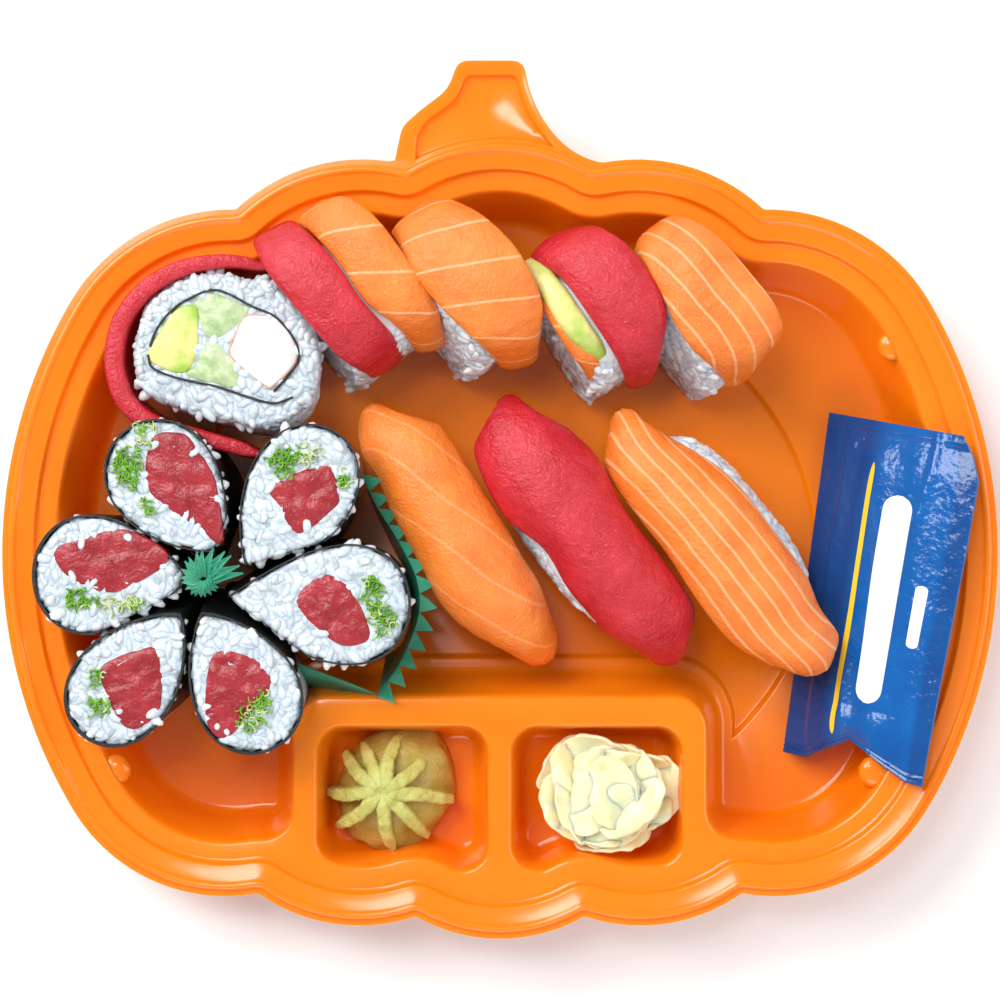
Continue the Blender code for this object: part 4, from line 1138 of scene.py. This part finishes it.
def build_nigiri_rice(node, middle, heading, half_length, half_width):
    angle = math.radians(heading)
    along = np.array((math.cos(angle), math.sin(angle)))
    aside = np.array((-along[1], along[0]))
    foot, top = PANEL_Z + 0.4, NIGIRI_RICE_TOP
    rings = []
    for share in np.linspace(-1, 1, 14):
        scale = math.sqrt(max(0.04, 1 - abs(share) ** 3.2))
        ring = []
        for t in np.linspace(0, 2 * math.pi, 40, endpoint=False):
            c, s = math.cos(t), math.sin(t)
            at = np.array(middle) + along * half_length * share
            at = at + aside * half_width * scale * math.copysign(abs(c) ** 0.7, c)
            rise = (1 + math.copysign(abs(s) ** 0.6, s)) / 2
            ring.append((*at, foot + (top - foot) * (1 - scale) * 0.35
                         + (top - foot) * rise * (0.45 + 0.55 * scale)))
        rings.append(ring)
    body = ring_solid(rings)

    def keep(places, normals):
        return (normals[:, 2] < 0.6) & (normals[:, 2] > -0.6)

    places, normals = spread_over(*body, GRAIN_SPACING, keep)
    add_piece(f"{node}_rice", *joined([body, grains(places, normals)]), "rice", node, sharp=180)


# ---- condiments, packet and grass --------------------------------------------------------------------------

def build_wasabi():
    """A lump of paste under the fins that a star nozzle leaves: thin blades that run out from the top."""
    rings = []
    for v in np.linspace(0, 1, 16):
        loop = []
        for t in np.linspace(0, 2 * math.pi, 90, endpoint=False):
            radius = WASABI_RADIUS * (1.02 - 0.1 * math.cos(2 * t + 1.0)) * (1 - v**2.4) ** 0.7 + 0.2
            loop.append((radius * math.cos(t) + 1.8, radius * math.sin(t), v * WASABI_HEIGHT * 0.72))
        rings.append(loop)
    rings = np.array(rings)
    flat = rings.reshape(-1, 3)
    flat[:, :2] *= (1 + 0.09 * unevenness(flat, 5.0))[:, None]
    flat += (*WASABI_CENTRE, HEAP_FOOT)
    # The lump wears the darker copy of the paste: painted shade where it shows between the fins.
    add_piece("wasabi_lump", *ring_solid(flat.reshape(rings.shape)), "wasabi_lump", "wasabi", sharp=180)
    fins = []
    for angle, length in WASABI_FINS:
        way = np.array((math.cos(math.radians(angle)), math.sin(math.radians(angle))))
        share = np.linspace(0, 1, 34)
        wave = 0.5 * np.sin(share * 5 + angle)
        path = np.array(WASABI_CENTRE) + (-1.4, 0) + np.outer(share * length, way)
        path = path + np.outer(wave, (-way[1], way[0]))
        thickness = np.interp(share, (0, 0.25, 0.8, 1), (2.6, 3.7, 3.0, 1.6))
        top = HEAP_FOOT + np.interp(share, (0, 0.15, 0.5, 0.85, 1), (15.0, 16.2, 14.4, 9.8, 6.6))
        points, faces = strip(path, thickness, HEAP_FOOT, top, corner=0.8, count=26)
        points[:, 2] = np.maximum(points[:, 2], HEAP_FOOT)
        points += 0.35 * np.column_stack([unevenness(points, 1.7, k) for k in (0.0, 9.0, 18.0)])
        fins.append((points, faces))
    add_piece("wasabi_fins", *joined(fins), "wasabi", "wasabi", sharp=180)


def folded_slice(at, z, turn, tilt, size, seed):
    """One thin slice of pickled ginger with soft folds."""
    rows, columns = 26, 20
    u, v = np.meshgrid(np.linspace(-1, 1, rows), np.linspace(-1, 1, columns), indexing="ij")
    x = u * size[0] * np.sqrt(1 - 0.45 * v**2)
    y = v * size[1] * np.sqrt(1 - 0.45 * u**2)
    folds = 1.1 * np.sin(0.42 * x + 1.3 * seed) + 0.8 * np.sin(0.36 * y + 0.25 * x + 2.1 * seed)
    points = np.column_stack([x.ravel() * 0.86, y.ravel(), folds.ravel()])
    points[:, 2] += 1.3 * unevenness(points, 5.0, 7.0 * seed)
    points[:, :2] *= (1 + 0.10 * unevenness(points, 3.0, 5.0 * seed))[:, None]
    c, s = math.cos(tilt), math.sin(tilt)
    points = points @ np.array([[c, 0, s], [0, 1, 0], [-s, 0, c]])
    c, s = math.cos(turn), math.sin(turn)
    points = points @ np.array([[c, s, 0], [-s, c, 0], [0, 0, 1]])
    return points + (*at, z), grid_faces(rows, columns)


def build_ginger():
    rings = []
    for share, scale in ((0.0, 0.62), (0.3, 0.74), (0.6, 0.66), (0.8, 0.4)):
        t = np.linspace(0, 2 * math.pi, 40, endpoint=False)
        loop = np.column_stack([np.cos(t), np.sin(t)]) * GINGER_RADIUS * scale + GINGER_CENTRE
        rings.append(with_z(loop, HEAP_FOOT + (GINGER_HEIGHT - 5) * share))
    add_piece("ginger_core", *ring_solid(rings), "ginger", "ginger", sharp=180)
    parts = []
    for i in range(GINGER_SLICES):
        angle = i * 2.4
        reach = GINGER_RADIUS * 0.70 * math.sqrt((GINGER_SLICES - i - 0.5) / GINGER_SLICES)
        at = (GINGER_CENTRE[0] + reach * math.cos(angle), GINGER_CENTRE[1] + 0.8 * reach * math.sin(angle))
        z = HEAP_FOOT + GINGER_HEIGHT - 4.0 - 13.0 * (reach / GINGER_RADIUS) ** 1.4
        size = (RANDOM.uniform(5.5, 8.5), RANDOM.uniform(7.5, 10.5))
        heading = angle + RANDOM.uniform(-0.9, 0.9)
        parts.append(folded_slice(at, z, heading, 0.6 * reach / GINGER_RADIUS, size, i + 1.0))
    add_piece("ginger_slices", *joined(parts), "ginger", "ginger", thickness=0.7, sharp=180)


def packet_at(u, v, face=1.0, lift=0.0):
    """Points of the film at shares of its width and length, on its upper (1) or its under (-1) face."""
    u, v = np.asarray(u, float).ravel()[:, None], np.asarray(v, float).ravel()[:, None]
    a, b, c, d = (np.array(corner) for corner in PACKET_CORNERS)
    normal = np.cross(d - a, b - a)
    normal = normal / np.linalg.norm(normal)
    across, down = (b - a) / np.linalg.norm(b - a), (d - a) / np.linalg.norm(d - a)
    at = (1 - v) * ((1 - u) * a + u * b) + v * ((1 - u) * d + u * c)
    at = at + across * u**3 * np.interp(v, (0, 0.05, 0.12, 0.3, 0.7, 1), (-4.0, -0.6, 2.0, 1.8, 0.6, 0))
    notch = np.clip(1 - np.abs(u - 0.47) / np.where(u < 0.47, 0.30, 0.42), 0, 1)
    notch = notch * np.clip((v - 0.82) / 0.18, 0, 1)
    at = at - down * 7.0 * notch
    full = (1 - np.abs(2 * u - 1) ** 2.6) * (1 - np.abs(2 * v - 1) ** 6)
    folds = unevenness(np.column_stack([u * 5, v * 2.6, 0 * u]), 1.0)[:, None] * full * 2.0
    folds += 1.2 * full * np.exp(-((u - 0.42 - 0.25 * (v - 0.8)) / 0.03) ** 2) * np.clip((v - 0.55) * 3, 0, 1)
    folds += 1.0 * np.exp(-((u - 0.80 + 0.35 * v) / 0.025) ** 2) * np.clip((0.4 - v) * 4, 0, 1)
    fin = -1.0 * np.clip((0.17 - u) / 0.015, 0, 1) * full
    end = np.clip((np.abs(2 * v - 1) - 0.90) / 0.03, 0, 1)
    crimp = end * 0.2 * np.sin(v * 400) * (1 if face > 0 else -1)
    half = PACKET_SEAM / 2 + (PACKET_THICKNESS / 2 - PACKET_SEAM / 2) * full
    if face > 0:
        return at + normal * (half + folds * 0.6 + crimp + fin + 2.2 * notch * (1 - notch) * 2 + lift)
    return at - normal * (half - crimp)


def build_packet():
    """A filled pillow between crimped ends, with the fin of its back seam along one side."""
    columns, rows = 70, 140
    u, v = np.meshgrid(np.linspace(0, 1, columns), np.linspace(0, 1, rows))
    sheet = np.column_stack([u.ravel(), v.ravel()])
    points = np.concatenate([packet_at(u, v), packet_at(u, v, face=-1.0)])
    faces = grid_faces(rows, columns)
    under = [tuple(i + rows * columns for i in face)[::-1] for face in faces]
    border = [q for q in range(columns)] + [r * columns + columns - 1 for r in range(1, rows)]
    border += [(rows - 1) * columns + q for q in range(columns - 2, -1, -1)]
    border += [r * columns for r in range(rows - 2, 0, -1)]
    walls = [(i, j, j + rows * columns, i + rows * columns) for i, j in zip(border, border[1:] + border[:1])]
    add_piece("packet_film", points, faces + under + walls, "packet", "sauce_packet",
              sheet=np.concatenate([sheet, sheet]))
    for kind, fields in PACKET_FIELDS.items():
        parts = []
        for left, right, start, end in fields:
            across, down = np.meshgrid(np.linspace(-1, 1, 16), np.linspace(-1, 1, 70))
            rounded = across * np.sqrt(1 - np.clip((np.abs(down) - 0.86) / 0.14, 0, 1) ** 2 * 0.96)
            mv = (start + end) / 2 + down * (end - start) / 2
            mu = (left + right) / 2 + rounded * (right - left) / 2 + 0.02 * (0.5 - mv)
            parts.append((packet_at(mu, mv, lift=0.12), grid_faces(70, 16)))
        add_piece(f"packet_{kind}", *joined(parts), kind, "sauce_packet")


def build_grass():
    """The green divider: a thin sheet with a saw-toothed upper edge, and the plain band it folds into."""
    per_tooth = 4
    top = smooth_line(GRASS_TOP, 400)
    length = np.linalg.norm(np.diff(top, axis=0), axis=1).sum()
    count = int(length / TOOTH[0]) * per_tooth + 1
    top = smooth_line(GRASS_TOP, count)
    foot = smooth_line(GRASS_FOOT, count)
    ahead = np.gradient(top, axis=0)
    ahead /= np.linalg.norm(ahead, axis=1)[:, None]
    out = np.column_stack([-ahead[:, 1], ahead[:, 0]])
    tooth = 1 - np.abs(((np.arange(count) % per_tooth) / per_tooth) * 2 - 1)
    rows = [with_z(foot + (top - foot) * s, FLOOR_Z + 0.4 + 21.0 * s) for s in (0, 0.35, 0.7, 1.0)]
    tip = top + out * (TOOTH[1] * tooth)[:, None] + ahead * (1.1 * tooth)[:, None]
    rows.append(np.column_stack([tip, FLOOR_Z + 21.4 + 2.6 * tooth]))
    points = np.concatenate(rows)
    fence = grid_faces(len(rows), count)
    add_piece("grass_fence_sheet", points, fence, "grass", "grass_fence", thickness=0.35)
    band = smooth_line(GRASS_BAND, 30)
    sheet = [with_z(band, 22.0), with_z(band + (-1.2, -2.8), 17.0), with_z(band + (-2.2, -5.2), 9.0)]
    add_piece("grass_band", np.concatenate(sheet), grid_faces(3, 30), "grass", "grass_fence", thickness=0.35)


def build_rosette():
    """The middle of the divider, bunched up between the rolls: pointed leaves that bend out over them."""
    parts = []
    for i in range(ROSETTE_LEAVES):
        angle = 2.4 * i
        length = 3.5 + 5.5 * ((i * 0.618) % 1) ** 2
        way = np.array((math.cos(angle), math.sin(angle), 0))
        aside = np.array((-math.sin(angle), math.cos(angle), 0))
        points = []
        for share in np.linspace(0, 1, 9):
            reach = 0.6 + length * share
            rise = 2.6 * math.sin(math.pi * min(1.0, share * 0.9 + 0.15)) + 0.35 * ((i * 5) % 7) / 7
            width = 1.7 * (1 - share) ** 0.8 * (0.5 + 1.5 * share * (1 - share)) + 0.05
            middle = np.array((*FLOWER_CENTRE, DROP_ROLL_TOP + 0.2 + rise)) + way * reach
            crease = np.array((0, 0, 0.9 * width))
            points += [middle - aside * width + crease, middle, middle + aside * width + crease]
        parts.append((np.array(points), grid_faces(9, 3)))
    add_piece("rosette_leaves", *joined(parts), "grass", "grass_rosette", thickness=0.25, sharp=60)


# ---- stage -------------------------------------------------------------------------------------------------

SOFTBOXES = [  # place, size, watts
    ("key", (-0.70, 0.70, 0.95), (0.9, 0.7), 17.0),
    ("top", (-0.26, 0.34, 1.20), (0.28, 0.28), 3.0),
    ("right", (1.00, 0.10, 0.80), (0.7, 0.9), 5.5),
    ("front", (-0.10, -1.05, 0.80), (1.0, 0.6), 5.0),
]


def plain_material(name, colour, roughness):
    made = bpy.data.materials.new(name)
    made.use_nodes = True
    shader = made.node_tree.nodes["Principled BSDF"]
    shader.inputs["Base Color"].default_value = (*colour, 1.0)
    shader.inputs["Roughness"].default_value = roughness
    return made


def add_softbox(name, at, size, power, aim=(0.0, 0.0, 0.0)):
    light = bpy.data.lights.new(name, "AREA")
    light.shape = "RECTANGLE"
    light.size, light.size_y = size
    light.energy = power
    lamp = bpy.data.objects.new(name, light)
    lamp.location = at
    lamp.rotation_euler = (Vector(aim) - Vector(at)).to_track_quat("-Z", "Y").to_euler()
    bpy.context.scene.collection.objects.link(lamp)


def set_stage():
    mesh = bpy.data.meshes.new("floor")
    mesh.from_pydata([(-3, -3, 0), (3, -3, 0), (3, 3, 0), (-3, 3, 0)], [], [(0, 1, 2, 3)])
    mesh.materials.append(plain_material("floor", (0.92, 0.92, 0.92), 0.7))
    floor = bpy.data.objects.new("floor", mesh)
    floor.location.z = -0.0005
    bpy.context.scene.collection.objects.link(floor)
    floor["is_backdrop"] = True

    for name, at, size, power in SOFTBOXES:
        add_softbox(name, at, size, power)
    world = bpy.data.worlds.new("studio")
    bpy.context.scene.world = world
    world.use_nodes = True
    background = world.node_tree.nodes["Background"]
    background.inputs["Color"].default_value = (1.0, 1.0, 1.0, 1.0)
    background.inputs["Strength"].default_value = 0.38

    camera_data = bpy.data.cameras.new("camera")
    camera_data.lens = 90.0
    camera_data.sensor_width = 36.0
    camera_data.clip_start = 0.01
    camera = bpy.data.objects.new("camera", camera_data)
    camera.location = (0.0, -0.0001, 0.626)
    bpy.context.scene.collection.objects.link(camera)
    bpy.context.scene.camera = camera
    bpy.context.scene.view_settings.view_transform = "Standard"


def sizes():
    low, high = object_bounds()
    return {"low": list(low), "high": list(high)}


def main():
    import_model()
    make_looks()
    build_tray()
    for number, roll in enumerate(DROP_ROLLS, 1):
        build_drop_roll(number, *roll)
    build_flat_roll()
    for number, roll in enumerate(EDGE_ROLLS, 1):
        build_edge_roll(number, roll)
    for node, rice in NIGIRI_RICE.items():
        build_nigiri_rice(node, *rice)
    for name, slice_sizes in FISH.items():
        build_fish(name, *slice_sizes)
    build_wasabi()
    build_ginger()
    build_packet()
    build_grass()
    build_rosette()
    set_stage()


main()
